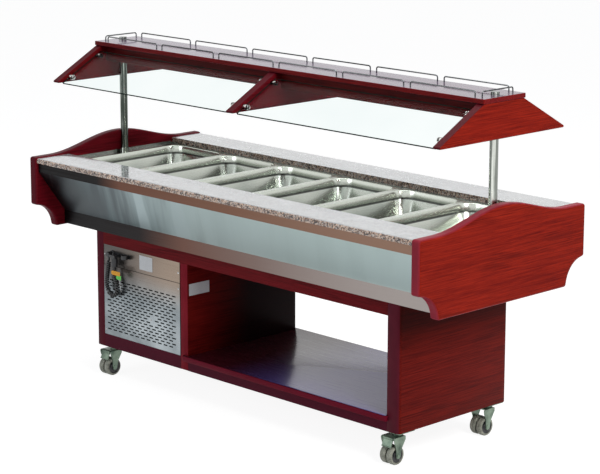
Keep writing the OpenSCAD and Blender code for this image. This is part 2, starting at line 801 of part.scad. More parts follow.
module cord_gland() color(dark) {
    translate([gland_x, 0, gland_z]) rotate([90, 0, 0])
        translate([0, 0, y_bay]) cylinder(r = 10, h = -cord_y + 9 - y_bay);
    translate([gland_x, cord_y, gland_end]) cylinder(r = 7.5, h = gland_z - gland_end);
    translate([gland_x, 0, gland_z]) rotate([90, 0, 0]) translate([0, 0, y_bay]) cylinder(r = 13, h = 4);
}

// The coil's own axis, as [x, z] points chosen along its route from the gland to the plug, in the
// plane of the cord
coil_route = concat(
    [for (p = [[0, 0], [0, -9], [-3, -32], [-9, -60], [-14, -90], [-14, -116], [-5, -139],
        [14, -151], [34, -149], [48, -135], [51, -115], [45, -96], [38, -78]])
        [gland_x, gland_end] + p],
    [[plug_x, plug_z - 12], [plug_x, plug_z]]);

// A smooth curve through the route, split into equal parameter steps
function spline(p, t) =
    let (n = len(p) - 1, i = min(floor(t), n - 1), f = t - i)
    let (a = p[max(i - 1, 0)], b = p[i], c = p[i + 1], d = p[min(i + 2, n)])
    let (m0 = i == 0 ? c - b : (c - a) / 2, m1 = i == n - 1 ? c - b : (d - b) / 2)
    (2 * pow(f, 3) - 3 * pow(f, 2) + 1) * b + (pow(f, 3) - 2 * pow(f, 2) + f) * m0
        + (3 * pow(f, 2) - 2 * pow(f, 3)) * c + (pow(f, 3) - pow(f, 2)) * m1;

route_steps = 12;
route = [for (k = [0:(len(coil_route) - 1) * route_steps]) spline(coil_route, k / route_steps)];
function run(pts, i = 1, total = 0, out = [0]) = i >= len(pts) ? out :
    let (next = total + norm(pts[i] - pts[i - 1])) run(pts, i + 1, next, concat(out, [next]));
route_at = run(route);
route_l = route_at[len(route_at) - 1];

// Point, direction and bend of the route at a distance along it
function find(s, lo, hi) = hi - lo <= 1 ? lo :
    let (mid = floor((lo + hi) / 2)) route_at[mid] <= s ? find(s, mid, hi) : find(s, lo, mid);
function route_point(s) =
    let (i = find(s, 0, len(route_at) - 1), f = (s - route_at[i]) / (route_at[i + 1] - route_at[i]))
    route[i] + f * (route[i + 1] - route[i]);
function route_dir(s) =
    unit(route_point(min(s + 3, route_l)) - route_point(max(s - 3, 0)));
function route_bend(s) =
    let (a = route_dir(max(s - 4, 0)), b = route_dir(min(s + 4, route_l))) norm(b - a) / 8;

// Rings of the curls: distance along the route for every eighth of a curl. The coil opens out
// over its first and last stretch, where its radius grows from nothing.
cord_lead = 9;
grow_l = 15;
grow_pitch = 10;
rings_per_curl = 8;
function grow(s) =
    let (f = max(0, min(1, min(s - cord_lead, route_l - cord_lead - s) / grow_l))) f * f * (3 - 2 * f);
function curl_steps(s, out) = s > route_l - cord_lead ? out :
    let (bend = min(0.6, (curl_r + curl_spread) * route_bend(s)))
    let (pitch = curl_pitch / (1 - bend) + grow_pitch * (1 - grow(s)))
    curl_steps(s + pitch / rings_per_curl, concat(out, [s]));
curl_r = (curl_d - cord_d) / 2;
curl_s = curl_steps(cord_lead, []);
curl_n = len(curl_s) - 1;

function curl_point(k) =
    let (s = curl_s[k], c = route_point(s), d = route_dir(s), a = 360 * k / rings_per_curl)
    let (r = curl_r * grow(s))
    [c[0] - r * cos(a) * d[1], cord_y + r * sin(a), c[1] + r * cos(a) * d[0]];

cord_path = concat(
    [[gland_x, cord_y, gland_end], [gland_x, cord_y, gland_end - cord_lead * 0.8]],
    [for (k = [0:curl_n]) curl_point(k)],
    [[plug_x, cord_y, plug_z - cord_lead * 0.8], [plug_x, cord_y, plug_z]]);

// Side direction of ring k, which turns with the curl
function ring_side(k) = let (a = 360 * (k - 2) / rings_per_curl, i = min(max(k - 2, 0), curl_n))
    let (d = route_dir(curl_s[i])) [-cos(a) * d[1], sin(a), cos(a) * d[0]];

module power_cord() color(dark) {
    n = len(cord_path);
    sides = 6;
    rings = [for (k = [0:n - 1])
        let (t = k == 0 ? [0, 0, -1] : k == n - 1 ? [0, 0, 1]
            : unit(cord_path[k + 1] - cord_path[k - 1]))
        let (q = ring_side(k), u = unit(q - (q * t) * t), v = cross(t, u))
        [for (i = [0:sides - 1]) let (a = 360 * i / sides)
            cord_path[k] + cord_d / 2 * (cos(a) * u + sin(a) * v)]];
    points = concat([for (r = rings) each r], [cord_path[0], cord_path[n - 1]]);
    polyhedron(points = points, faces = concat(
        [for (k = [0:n - 2], i = [0:sides - 1])
            [k * sides + i, k * sides + (i + 1) % sides, (k + 1) * sides + i]],
        [for (k = [0:n - 2], i = [0:sides - 1])
            [k * sides + (i + 1) % sides, (k + 1) * sides + (i + 1) % sides, (k + 1) * sides + i]],
        [for (i = [0:sides - 1]) [n * sides, (i + 1) % sides, i]],
        [for (i = [0:sides - 1])
            [n * sides + 1, (n - 1) * sides + i, (n - 1) * sides + (i + 1) % sides]]),
        convexity = 10);
}

// Least gap of the cord to itself, between points that lie more than a bend apart along it, and
// its tightest bend radius
cord_at = run(cord_path);
cord_gap = min([for (i = [0:len(cord_path) - 1], j = [i + 4:1:len(cord_path) - 1])
    if (cord_at[j] - cord_at[i] > 1.8 * cord_d) norm(cord_path[i] - cord_path[j])]) - cord_d;
cord_bend = min([for (i = [1:len(cord_path) - 2])
    let (a = cord_path[i] - cord_path[i - 1], b = cord_path[i + 1] - cord_path[i])
    (norm(a) + norm(b)) / 2 / max(0.001, norm(unit(b) - unit(a)))]);
echo(cord_curls = curl_n / rings_per_curl, cord_gap = cord_gap, cord_bend = cord_bend,  // power_cord
        cord_length = cord_at[len(cord_at) - 1]);

module cord_plug() color(dark) translate([plug_x, cord_y, 0]) {
    translate([0, 0, plug_z]) cylinder(r1 = 5, r2 = 8, h = 12);
    translate([0, 0, plug_z + 12]) cylinder(r = 13, h = plug_top - plug_z - 12);
    for (s = [-1, 1]) translate([s * 6.35, 3, plug_top])
        block([-0.8, -3, -1], [0.8, 3, 17]);
    translate([0, -6, plug_top - 1]) cylinder(r = 2.4, h = 19);
}

module plug_holder() color([0.2, 0.2, 0.2]) difference() {
    union() {
        block([plug_x - 17, -y_bay - 3, plug_top], [plug_x + 77, -y_bay, plug_top + 16]);
        block([plug_x - 17, cord_y - 14, plug_top], [plug_x + 17, -y_bay, plug_top + 10]);
        translate([plug_x + 58, -y_bay - 14, plug_top]) difference() {
            cylinder(r = 14, h = 16);
            translate([0, 0, -1]) cylinder(r = 11, h = 18);
            block([-20, 12, -1], [20, 20, 18]);
        }
    }
    translate([plug_x, cord_y, plug_top - 1]) {
        for (s = [-1, 1]) translate([s * 6.35, 3, 0]) block([-1.3, -3.5, 0], [1.3, 3.5, 20]);
        translate([0, -6, 0]) cylinder(r = 2.9, h = 20);
    }
}

// Two tie-on tags and a loose string, hung from a ring round the cord under the plug
module cord_tags() color([0.95, 0.7, 0.2]) {
    ring_z = plug_z - 4;
    translate([plug_x, cord_y - 3.5, ring_z]) rotate_extrude() translate([8, 0]) circle(r = 0.7, $fn = 16);
    translate([plug_x - 6, tag_y, ring_z - 3]) block([0, -0.5, -7], [54, 0.5, 7]);
    translate([plug_x + 24, tag_y, ring_z - 18]) block([0, -0.5, -8], [30, 0.5, 9]);
    translate([plug_x + 40, tag_y, ring_z - 24]) rotate([0, 163, 0]) cylinder(r = 0.8, h = 54, $fn = 16);
}

// ---------------------------------------------------------------- canopy

module posts() color(chrome) both_ends() translate([x_post, 0, 0]) difference() {
    low = z_ledge - socket_deep + socket_end;
    high = z_canopy_top + post_up;
    translate([0, 0, low]) cylinder(d = post_d, h = high - low);
    translate([0, 0, low - 1]) cylinder(r = post_d / 2 - post_wall, h = high - low + 1 - 2 * post_wall);
}

module post_sockets() color(chrome) both_ends() {
    r = post_d / 2;
    translate([x_post, 0, 0]) difference() {
        union() {
            translate([0, 0, z_ledge - socket_deep]) cylinder(r = r + socket_wall, h = socket_deep);
            translate([0, 0, z_ledge]) cylinder(r = r + socket_wall + 1, h = collar_h);
        }
        translate([0, 0, z_ledge - socket_deep + socket_end])
            cylinder(r = r + post_fit, h = socket_deep + collar_h);
    }
    block([x_post + r + 1, -9, z_ledge - socket_deep], [x_panel, 9, z_ledge - sheet]);
}

// Holes for the two posts
module post_holes() both_ends() translate([x_post, 0, 0])
    cylinder(r = post_d / 2 + post_fit, h = 2 * z_canopy_top);

module canopy_board() color(wood) difference() {
    outline = round_rect(canopy_l / 2, canopy_d / 2, 2 * crisp_r, 3);
    translate([0, 0, z_canopy]) formed_board(outline, canopy_t, crisp_r);
    post_holes();
}

// Outline of a wing as [y, z]; its two tips would meet the lower edge at wing_tip if they were sharp
function wing_outline() =
    let (low = z_canopy - wing_h, r = crisp_r + 2)
    let (a = atan2(wing_h, wing_tip - wing_top), y = wing_tip - r / tan(a / 2))
    concat(
        arc([y, low + r], r, 270, 450 - a, 6),
        [[wing_top, z_canopy], [-wing_top, z_canopy]],
        arc([-y, low + r], r, 90 + a, 270, 6));

module wing(t) rotate([90, 0, 90]) formed_board(wing_outline(), t, crisp_r);

module canopy_wings() color(wood) difference() {
    both_ends() translate([x_wing, 0, 0]) wing(wing_t);
    post_holes();
}

module centre_support() color(wood) difference() {
    translate([-centre_t / 2, 0, 0]) wing(centre_t);
    block([-centre_t, -beam_d / 2, z_canopy - beam_h], [centre_t, beam_d / 2, z_canopy + 1]);
}

// The beam's two lamp pockets
pocket_x0 = centre_t / 2 + 15;
pocket_x1 = x_wing - 60;
pocket_half = beam_d / 2 - 30;
pocket_top = 30;
lamp_r = 9;
lamp_end = 20;
lamp_foot = 15;

module canopy_beam() color(wood) difference() {
    block([-x_wing, -beam_d / 2, z_canopy - beam_h], [x_wing, beam_d / 2, z_canopy]);
    both_ends() block([pocket_x0, -pocket_half, z_canopy - beam_h - 1],
        [pocket_x1, pocket_half, z_canopy - pocket_top]);
    post_holes();
}

module canopy_lamps() color([0.95, 0.95, 0.92]) both_ends() {
    lamp_z = z_canopy - pocket_top - 2 * lamp_r;
    translate([(pocket_x0 + pocket_x1) / 2, 0, lamp_z])
        bar_x(lamp_r, pocket_x1 - pocket_x0 - 2 * lamp_end);
    for (x = [pocket_x0 + lamp_end, pocket_x1 - lamp_end - lamp_foot])
        block([x, -14, lamp_z - lamp_r - 1], [x + lamp_foot, 14, z_canopy - pocket_top]);
}

glass_dir = unit([glass_low - glass_top, -glass_fall]);
glass_side = [-glass_dir[1], glass_dir[0]];
glass_a = [glass_top, z_canopy - glass_down];
glass_b = [glass_low, z_canopy - glass_down - glass_fall];

// Section of a pane as [y, z], stretched at both edges
module glass_section(more) polygon([
    glass_a - more * glass_dir + glass_t / 2 * glass_side,
    glass_b + more * glass_dir + glass_t / 2 * glass_side,
    glass_b + more * glass_dir - glass_t / 2 * glass_side,
    glass_a - more * glass_dir - glass_t / 2 * glass_side]);

glass_l = x_wing - centre_t / 2 - 2 * glass_gap;

module glass_panes() color([0.85, 0.95, 0.93, 0.4]) both_ends() both_sides()
    translate([centre_t / 2 + glass_gap + glass_l / 2, 0, 0]) along_x(glass_l) glass_section(0);

// Clamps beside the wood, near the two edges of each pane
module glass_clamps() color(steel) both_ends() both_sides() {
    low = glass_a + 0.8 * (glass_b - glass_a);
    high = glass_a + [14, -13];
    for (c = [low, high]) {
        clamp_at(c, centre_t / 2, centre_t / 2 + clamp_l, centre_t / 2 + glass_gap);
        clamp_at(c, x_wing - clamp_l, x_wing, x_wing - clamp_l - 1);
    }
}

module clamp_at(c, x0, x1, cut) difference() {
    translate([(x0 + x1) / 2, c[0], c[1]]) bar_x(clamp_d / 2, x1 - x0);
    cut_l = clamp_l - glass_gap + 1;
    translate([cut + cut_l / 2, 0, 0]) along_x(cut_l) glass_section(60);
}

// A rail of bent wire that stands on z = 0 along X
module wire_rail(l) {
    r = wire_d / 2;
    translate([0, 0, gallery_h]) bar_x(r, l - 2 * bend_r);
    both_ends() {
        translate([l / 2, 0, 0]) cylinder(r = r, h = gallery_h - bend_r);
        translate([l / 2 - bend_r, 0, gallery_h - bend_r]) rotate([90, 0, 0])
            rotate_extrude(angle = 90) translate([bend_r, 0]) circle(r = r);
    }
}

module gallery_rails() color(chrome) translate([0, 0, z_canopy_top]) {
    both_sides() for (i = [0:gallery_n - 1])
        translate([(i - (gallery_n - 1) / 2) * gallery_pitch, canopy_d / 2 - gallery_in, 0])
            wire_rail(gallery_l);
    both_ends() translate([x_post + post_d / 2 - 4, 0, 0]) rotate([0, 0, 90]) wire_rail(2 * gallery_end);
}

// ---------------------------------------------------------------- casters

// Places its children at one corner
module corner(sx, sy) translate([sx * caster_x, sy * caster_y, 0]) children();

module caster_plates() color(zinc) for (sx = [-1, 1], sy = [-1, 1]) corner(sx, sy) {
    block([-45, -40, caster_h - plate_t], [45, 40, caster_h]);
    translate([0, 0, z_fork_top - 12]) cylinder(r = pin_r, h = 14);
}

// The fork with its axle; the front pair also carries the pin of its brake pedal
module fork(brake) color(zinc) difference() {
    union() {
        translate([0, 0, z_fork_plate - fork_plate_t]) cylinder(r = neck_r, h = fork_plate_t + neck_h);
        translate([0, 0, z_fork_plate - 1]) cylinder(r = race_r, h = race_h + 1);
        block([-fork_in - fork_t, -trail - 10, z_fork_plate - fork_plate_t],
            [fork_in + fork_t, fork_rear, z_fork_plate]);
        both_ends() translate([fork_in, 0, 0]) fork_arm();
        translate([0, -trail, wheel_d / 2]) bar_x(axle_r, 2 * (fork_in + fork_t + 2));
        both_ends() translate([fork_in + fork_t + 1, -trail, wheel_d / 2]) bar_x(8, 2);
        if (brake) translate([0, pedal_y, pedal_z]) bar_x(pedal_pin_r, 2 * fork_in + fork_t);
    }
    translate([0, 0, z_fork_top - 14]) cylinder(r = pin_r + run_fit, h = 30);
}

// An arm that narrows from the fork plate to the axle, with the seat of the pedal's pin at its front
module fork_arm() translate([fork_t / 2, 0, 0]) along_x(fork_t) {
    high = z_fork_plate;
    mid = wheel_d / 2;
    polygon(concat(
        arc([-trail, mid], fork_hub, 180, 360, 10),
        [[0.45 * fork_rear - 0.55 * trail, mid + 0.35 * (high - mid)],
            [0.8 * fork_rear - 0.2 * trail, mid + 0.65 * (high - mid)],
            [fork_rear, high - 12], [fork_rear, high]],
        arc([pedal_y, pedal_z], 6, 90, 180, 5),
        [[pedal_y - 4, pedal_z - 10], [-trail - fork_hub - 1, mid + 0.5 * (pedal_z - mid)]]));
}

module wheel_pair() {
    r = wheel_d / 2;
    w = wheel_w;
    translate([0, -trail, r]) rotate([0, 90, 0]) both_wheels() rotate_extrude($fn = 64)
        polygon(concat(
            [[axle_r + run_fit, 0], [12, 0], [12, wheel_gap / 2], [r - 9, wheel_gap / 2]],
            arc([r - 5, wheel_gap / 2 + 5], 5, -90, 0, 4),
            arc([r - 5, wheel_gap / 2 + w - 5], 5, 0, 90, 4),
            [[r - 9, wheel_gap / 2 + w], [r - 12, wheel_gap / 2 + w - 3],
            [14, wheel_gap / 2 + w - 3], [13, wheel_gap / 2 + w], [axle_r + run_fit, wheel_gap / 2 + w]]));
}

module both_wheels() for (s = [0, 1]) mirror([0, 0, s]) children();

module wheels(sx, sy) color(grey) corner(sx, sy) wheel_pair();

// A brake pedal that hangs from its pin in front of the wheels
module brake_pedal() color(zinc) translate([0, pedal_y, pedal_z]) rotate([-pedal_tilt, 0, 0])
    difference() {
        union() {
            bar_x(pedal_r, 2 * pedal_half);
            block([-pedal_half, -pedal_t / 2, -pedal_l], [pedal_half, pedal_t / 2, 0]);
            translate([0, 0, -pedal_l]) bar_x(pedal_roll, 2 * pedal_half);
        }
        bar_x(pedal_pin_r + run_fit, 80);
    }

// ---------------------------------------------------------------- assembly

end_panel_left();
end_panel_right();
granite_strips();
well_tub();
well_insulation();
fascias();
well_tray();
pan(1);  // pan_1
pan(2);  // pan_2
pan(3);  // pan_3
pan(4);  // pan_4
pan(5);  // pan_5
pan(6);  // pan_6
pan_bars();
evaporator_coil();
well_drain();
base_end_left();
base_end_right();
base_divider();
base_rails();
base_shelf();
base_bottom();
service_cover();
service_grille();
rear_panel();
compressor();
condenser();
fan_motor();
fan_blades();
control_box();
power_rocker();
thermostat_knob();
cord_gland();
power_cord();
cord_plug();
plug_holder();
cord_tags();
blank_plates();
panel_screws();
posts();
post_sockets();
canopy_board();
canopy_beam();
canopy_lamps();
canopy_wings();
centre_support();
glass_panes();
glass_clamps();
gallery_rails();
caster_plates();
corner(-1, -1) fork(true);  // fork_fl
corner(1, -1) fork(true);  // fork_fr
corner(-1, 1) fork(false);  // fork_bl
corner(1, 1) fork(false);  // fork_br
wheels(-1, -1);  // wheels_fl
wheels(1, -1);  // wheels_fr
wheels(-1, 1);  // wheels_bl
wheels(1, 1);  // wheels_br
corner(-1, -1) brake_pedal();  // brake_pedal_fl
corner(1, -1) brake_pedal();  // brake_pedal_fr
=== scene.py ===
"""Looks of the mobile salad bar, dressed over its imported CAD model. Metres, in the CAD's own frame."""

import json
import math

import bmesh
import bpy
from mathutils import Matrix, Vector

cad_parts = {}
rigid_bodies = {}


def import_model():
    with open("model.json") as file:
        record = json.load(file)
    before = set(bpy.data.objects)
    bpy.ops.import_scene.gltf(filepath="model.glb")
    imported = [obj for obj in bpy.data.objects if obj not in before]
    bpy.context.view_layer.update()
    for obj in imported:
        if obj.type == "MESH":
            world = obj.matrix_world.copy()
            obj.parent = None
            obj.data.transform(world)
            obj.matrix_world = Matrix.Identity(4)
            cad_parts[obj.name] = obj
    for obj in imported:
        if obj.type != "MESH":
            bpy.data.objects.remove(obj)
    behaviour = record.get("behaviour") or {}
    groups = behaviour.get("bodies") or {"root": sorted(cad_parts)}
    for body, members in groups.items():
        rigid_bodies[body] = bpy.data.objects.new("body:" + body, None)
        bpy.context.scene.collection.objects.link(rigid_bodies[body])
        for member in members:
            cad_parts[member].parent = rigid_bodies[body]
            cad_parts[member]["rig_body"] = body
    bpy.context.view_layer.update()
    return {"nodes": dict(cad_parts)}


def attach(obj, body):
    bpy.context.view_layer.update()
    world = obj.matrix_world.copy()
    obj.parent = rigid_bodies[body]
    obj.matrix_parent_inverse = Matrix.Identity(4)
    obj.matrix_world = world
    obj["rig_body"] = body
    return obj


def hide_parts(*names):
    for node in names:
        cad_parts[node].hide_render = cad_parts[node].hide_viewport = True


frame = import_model()
nodes = frame["nodes"]

# ---------------------------------------------------------------- camera

# Place, turn and focal length of the photograph's camera, and where its axis meets the picture.
CAMERA_AT = Vector((5.7317, -5.5619, 2.4553))
YAW, PITCH, ROLL = math.radians(45.107), math.radians(11.785), math.radians(0.215)
FOCAL_PX = 2149.68
AXIS_PX = (320.65, 201.39)
FRAME_W, FRAME_H = 600, 474
SENSOR_MM = 36


def make_camera():
    """The photograph's camera, fitted to the object's level lines and right angles."""
    forward = Vector((-math.sin(YAW) * math.cos(PITCH), math.cos(YAW) * math.cos(PITCH), -math.sin(PITCH)))
    right = Vector((math.cos(YAW), math.sin(YAW), 0))
    up = right.cross(forward)
    rolled_right = math.cos(ROLL) * right + math.sin(ROLL) * up
    rolled_up = math.cos(ROLL) * up - math.sin(ROLL) * right
    data = bpy.data.cameras.new("camera")
    data.sensor_width = SENSOR_MM
    data.lens = FOCAL_PX * SENSOR_MM / FRAME_W
    data.shift_x = (FRAME_W / 2 - AXIS_PX[0]) / FRAME_W
    data.shift_y = (AXIS_PX[1] - FRAME_H / 2) / FRAME_W
    camera = bpy.data.objects.new("camera", data)
    turn = Matrix((rolled_right, rolled_up, -forward)).transposed().to_4x4()
    camera.matrix_world = Matrix.Translation(CAMERA_AT) @ turn
    bpy.context.scene.collection.objects.link(camera)
    bpy.context.scene.camera = camera


make_camera()

# ---------------------------------------------------------------- shader helpers


def srgb(r, g, b):
    """A colour written as it looks, 0 to 255, as linear values."""
    def linear(v):
        v /= 255
        return v / 12.92 if v <= 0.04045 else ((v + 0.055) / 1.055) ** 2.4
    return (linear(r), linear(g), linear(b), 1)


class Shader:
    """One material and short names for the nodes that it is made of."""

    def __init__(self, name, **values):
        self.material = bpy.data.materials.new(name)
        self.material.use_nodes = True
        self.tree = self.material.node_tree
        self.bsdf = self.tree.nodes["Principled BSDF"]
        self.coords = self.tree.nodes.new("ShaderNodeTexCoord")
        self.set(**values)

    def put(self, socket, value):
        """Link another node's output to a socket, or set its number or colour."""
        if isinstance(value, bpy.types.NodeSocket):
            self.tree.links.new(value, socket)
        else:
            socket.default_value = value

    def set(self, **values):
        """Set or link sockets of the main shader by their names in small letters."""
        for name, value in values.items():
            self.put(self.bsdf.inputs[name.replace("_", " ").title().replace("Ior", "IOR")], value)

    def place(self, scale=(1, 1, 1), offset=(0, 0, 0)):
        """The point on the object, stretched by scale and moved by offset."""
        mapping = self.tree.nodes.new("ShaderNodeMapping")
        self.put(mapping.inputs["Vector"], self.coords.outputs["Object"])
        mapping.inputs["Scale"].default_value = scale
        mapping.inputs["Location"].default_value = offset
        return mapping.outputs["Vector"]

    def noise(self, scale=(1, 1, 1), size=1.0, detail=4.0, rough=0.55, twist=0.0, offset=(0, 0, 0),
              vector=None):
        """Cloudy noise over the object, or over another vector."""
        node = self.tree.nodes.new("ShaderNodeTexNoise")
        self.put(node.inputs["Vector"], self.place(scale, offset) if vector is None else vector)
        node.inputs["Scale"].default_value = size
        node.inputs["Detail"].default_value = detail
        node.inputs["Roughness"].default_value = rough
        node.inputs["Distortion"].default_value = twist
        return node.outputs["Fac"]

    def cells(self, size, output="Distance"):
        node = self.tree.nodes.new("ShaderNodeTexVoronoi")
        self.put(node.inputs["Vector"], self.place())
        node.inputs["Scale"].default_value = size
        return node.outputs[output]

    def rings(self, scale, centre, size, twist, detail):
        """Rings round a point of the object, drawn out by scale, as in sawn wood."""
        node = self.tree.nodes.new("ShaderNodeTexWave")
        node.wave_type = "RINGS"
        node.rings_direction = "SPHERICAL"
        self.put(node.inputs["Vector"], self.place(scale, tuple(-a * b for a, b in zip(scale, centre))))
        node.inputs["Scale"].default_value = size
        node.inputs["Distortion"].default_value = twist
        node.inputs["Detail"].default_value = detail
        return node.outputs["Fac"]

    def math(self, kind, a, b=0.0):
        node = self.tree.nodes.new("ShaderNodeMath")
        node.operation = kind
        self.put(node.inputs[0], a)
        self.put(node.inputs[1], b)
        return node.outputs[0]

    def times(self, a, b):
        return self.math("MULTIPLY", a, b)

    def span(self, value, low, high, to_low=0.0, to_high=1.0):
        """A soft step: to_low where value is low, to_high where it is high."""
        node = self.tree.nodes.new("ShaderNodeMapRange")
        node.interpolation_type = "SMOOTHSTEP"
        self.put(node.inputs["Value"], value)
        limits = {"From Min": low, "From Max": high, "To Min": to_low, "To Max": to_high}
        for name, number in limits.items():
            node.inputs[name].default_value = number
        return node.outputs["Result"]

    def ramp(self, value, *stops):
        """Colours by value, from stops of (value, colour)."""
        node = self.tree.nodes.new("ShaderNodeValToRGB")
        self.put(node.inputs["Fac"], value)
        elements = node.color_ramp.elements
        while len(elements) < len(stops):
            elements.new(0.5)
        for element, (at, colour) in zip(elements, stops):
            element.position = at
            element.color = colour
        return node.outputs["Color"]

    def blend(self, factor, a, b, kind="MIX"):
        node = self.tree.nodes.new("ShaderNodeMix")
        node.data_type = "RGBA"
        node.blend_type = kind
        self.put(node.inputs[0], factor)
        self.put(node.inputs[6], a)
        self.put(node.inputs[7], b)
        return node.outputs[2]

    def part(self, vector, axis):
        node = self.tree.nodes.new("ShaderNodeSeparateXYZ")
        self.put(node.inputs[0], vector)
        return node.outputs[axis]

    def vector(self, x, y, z):
        node = self.tree.nodes.new("ShaderNodeCombineXYZ")
        for socket, value in zip(node.inputs, (x, y, z)):
            self.put(socket, value)
        return node.outputs[0]

    def along(self, axis):
        """How far a point lies along an axis of the object."""
        return self.part(self.coords.outputs["Object"], axis)

    def normal(self, axis):
        """The part of the surface's direction that points along an axis, -1 to 1."""
        return self.part(self.coords.outputs["Normal"], axis)

    def facing(self, axis):
        """How squarely the surface faces along an axis either way, 0 to 1."""
        return self.math("ABSOLUTE", self.normal(axis))

    def bump(self, height, distance, strength):
        """Relief that catches the light, without a change of shape."""
        node = self.tree.nodes.new("ShaderNodeBump")
        self.put(node.inputs["Height"], height)
        node.inputs["Distance"].default_value = distance
        node.inputs["Strength"].default_value = strength
        self.set(normal=node.outputs["Normal"])


def stretched(axis, along, across):
    """Texture scale that draws a pattern out along one axis."""
    return tuple(along if i == axis else across for i in range(3))


X, Y, Z = 0, 1, 2

# ---------------------------------------------------------------- materials


def wood(name, grain, dark, light, heart, banded=None, lower=None, film=None, shade=None,
         rough=0.36, gloss=0.04, sheen=0.0):
    """Mahogany-red laminate, whose grain runs along one axis and arches round the point heart.

    banded is (axis, colour) of a plain band on the edges that don't face along the axis. lower is a
    colour that the wood turns to near the floor. film is (colour, coat, roughness) of a coat on its
    upper face, whose colour is a painted reflection tone blended over the wood there. shade is (axis,
    from, to, share, colour) of painted light that grows along the axis, painted shade on most woods and
    a painted reflection on the shelf: on the film where there is one, and otherwise off the band."""
    s = Shader(name, specular_ior_level=gloss, sheen_weight=sheen, sheen_roughness=0.35,
               sheen_tint=(0.45, 0.55, 1.0, 1), coat_ior=2.0)
    streaks = s.noise(stretched(grain, 1.2, 58), 5.5, 7, 0.62, 0.3)
    cloud = s.noise(stretched(grain, 0.5, 4.5), 3.1, 3, 0.5, offset=(3, 1, 2))
    arches = s.rings(stretched(grain, 0.36, 2.6), heart, 9, 2.6, 3)
    tone = s.math("ADD", s.times(streaks, 0.82), s.times(cloud, 0.18))
    middle = tuple((a + b) / 2 for a, b in zip(dark, light))
    colour = s.ramp(tone, (0.37, dark), (0.5, middle), (0.63, light))
    deep = tuple(0.34 * v for v in dark[:3]) + (1,)
    pores = s.span(s.noise(stretched(grain, 4, 130), 6, 3, 0.7), 0.56, 0.7)
    lines = s.times(s.span(arches, 0.72, 0.96), s.span(streaks, 0.4, 0.6, 0.35, 0.05))
    colour = s.blend(s.math("MAXIMUM", s.times(pores, 0.5), lines), colour, deep)
    shaded = 1.0
    if banded is not None:
        axis, band = banded
        edge = s.span(s.facing(axis), 0.55, 0.9, 1.0, 0.0)
        colour = s.blend(edge, colour, s.ramp(cloud, (0.3, tuple(0.8 * v for v in band)), (0.7, band)))
        shaded = s.math("SUBTRACT", 1.0, edge)
    if lower is not None:
        colour = s.blend(s.span(s.along(Z), 0.14, 0.4, 0.85, 0.0), colour, lower)
    if film is not None:
        painted_top_colour, coat, film_rough = film
        upper = s.span(s.normal(Z), 0.97, 0.998)
        s.set(coat_weight=s.times(upper, coat), coat_roughness=film_rough)
        # Painted reflection tone blended over the upper face.
        colour = s.blend(s.times(upper, 0.75), colour, painted_top_colour)
        shaded = upper
    # Painted light along the axis: shade on most woods, a reflection on the shelf.
    if shade is not None:
        axis, start, end, share, shade_colour = shade
        factor = s.span(s.along(axis), start, end, 0.0, share)
        colour = s.blend(s.times(factor, shaded), colour, shade_colour)
    s.set(base_color=colour, roughness=s.span(streaks, 0.3, 0.7, rough - 0.05, rough + 0.07))
    s.bump(s.math("ADD", streaks, s.times(pores, -0.5)), 0.00015, 0.4)
    return s.material


def granite():
    """Polished speckled stone: its upper faces greyer with a painted reflection, darker on the rear
    strip's sides.
    """
    s = Shader("polished_stone", specular_ior_level=0.4, coat_weight=0.7, coat_roughness=0.03, ior=1.5)
    grains = s.cells(230, output="Color")
    seeds = s.part(grains, X)
    colour = s.ramp(seeds, (0.0, srgb(26, 22, 24)), (0.24, srgb(84, 62, 54)), (0.36, srgb(176, 138, 116)),
                    (0.58, srgb(222, 190, 164)), (0.8, srgb(214, 202, 192)), (1.0, srgb(108, 90, 88)))
    specks = s.span(s.noise(size=260, detail=3, rough=0.6), 0.54, 0.62)
    colour = s.blend(specks, colour, srgb(30, 25, 28))
    cloud = s.noise(size=9, detail=3)
    rear_sides = s.times(s.span(s.along(Y), 0.2, 0.3), s.facing(Y))
    colour = s.blend(s.times(rear_sides, 0.55), colour, srgb(40, 32, 34))
    fine = s.span(s.noise(size=90, detail=5, rough=0.7), 0.46, 0.62, 0.0, 0.3)
    # Painted reflection: the upper faces turn grey-blue as if the bright surroundings showed in them.
    painted_top_reflection = s.blend(fine, s.ramp(cloud, (0.3, srgb(146, 152, 156)), (0.7, srgb(172, 177, 180))),
                     srgb(132, 128, 132))
    colour = s.blend(s.times(s.span(s.normal(Z), 0.75, 0.97), 0.88), colour, painted_top_reflection)
    s.set(base_color=colour, roughness=s.span(cloud, 0.3, 0.7, 0.08, 0.16))
    s.bump(specks, 0.00005, 0.25)
    return s.material


def brushed_sheet(name, axis, along=1.5, across=420):
    """A metal sheet's shader, and the fine lines that it is brushed with along one axis."""
    s = Shader(name, metallic=1.0)
    return s, s.noise(stretched(axis, along, across), 3, 4, 0.7)


def finish_sheet(s, hair, colour, smooth, rough):
    """The brushed sheet's material, as rough as its lines say."""
    s.set(base_color=colour, roughness=s.span(hair, 0.3, 0.7, smooth, rough))
    s.bump(hair, 0.00003, 0.5)
    return s.material


def steel(name, axis, dark, light, rough):
    """Stainless sheet brushed along one axis."""
    s, hair = brushed_sheet(name, axis)
    cloud = s.noise(size=5.5, detail=3, offset=(2, 5, 1))
    tone = s.math("ADD", s.times(hair, 0.45), s.times(cloud, 0.55))
    colour = s.ramp(tone, (0.28, dark), (0.72, light))
    return finish_sheet(s, hair, colour, rough - 0.06, rough + 0.09)


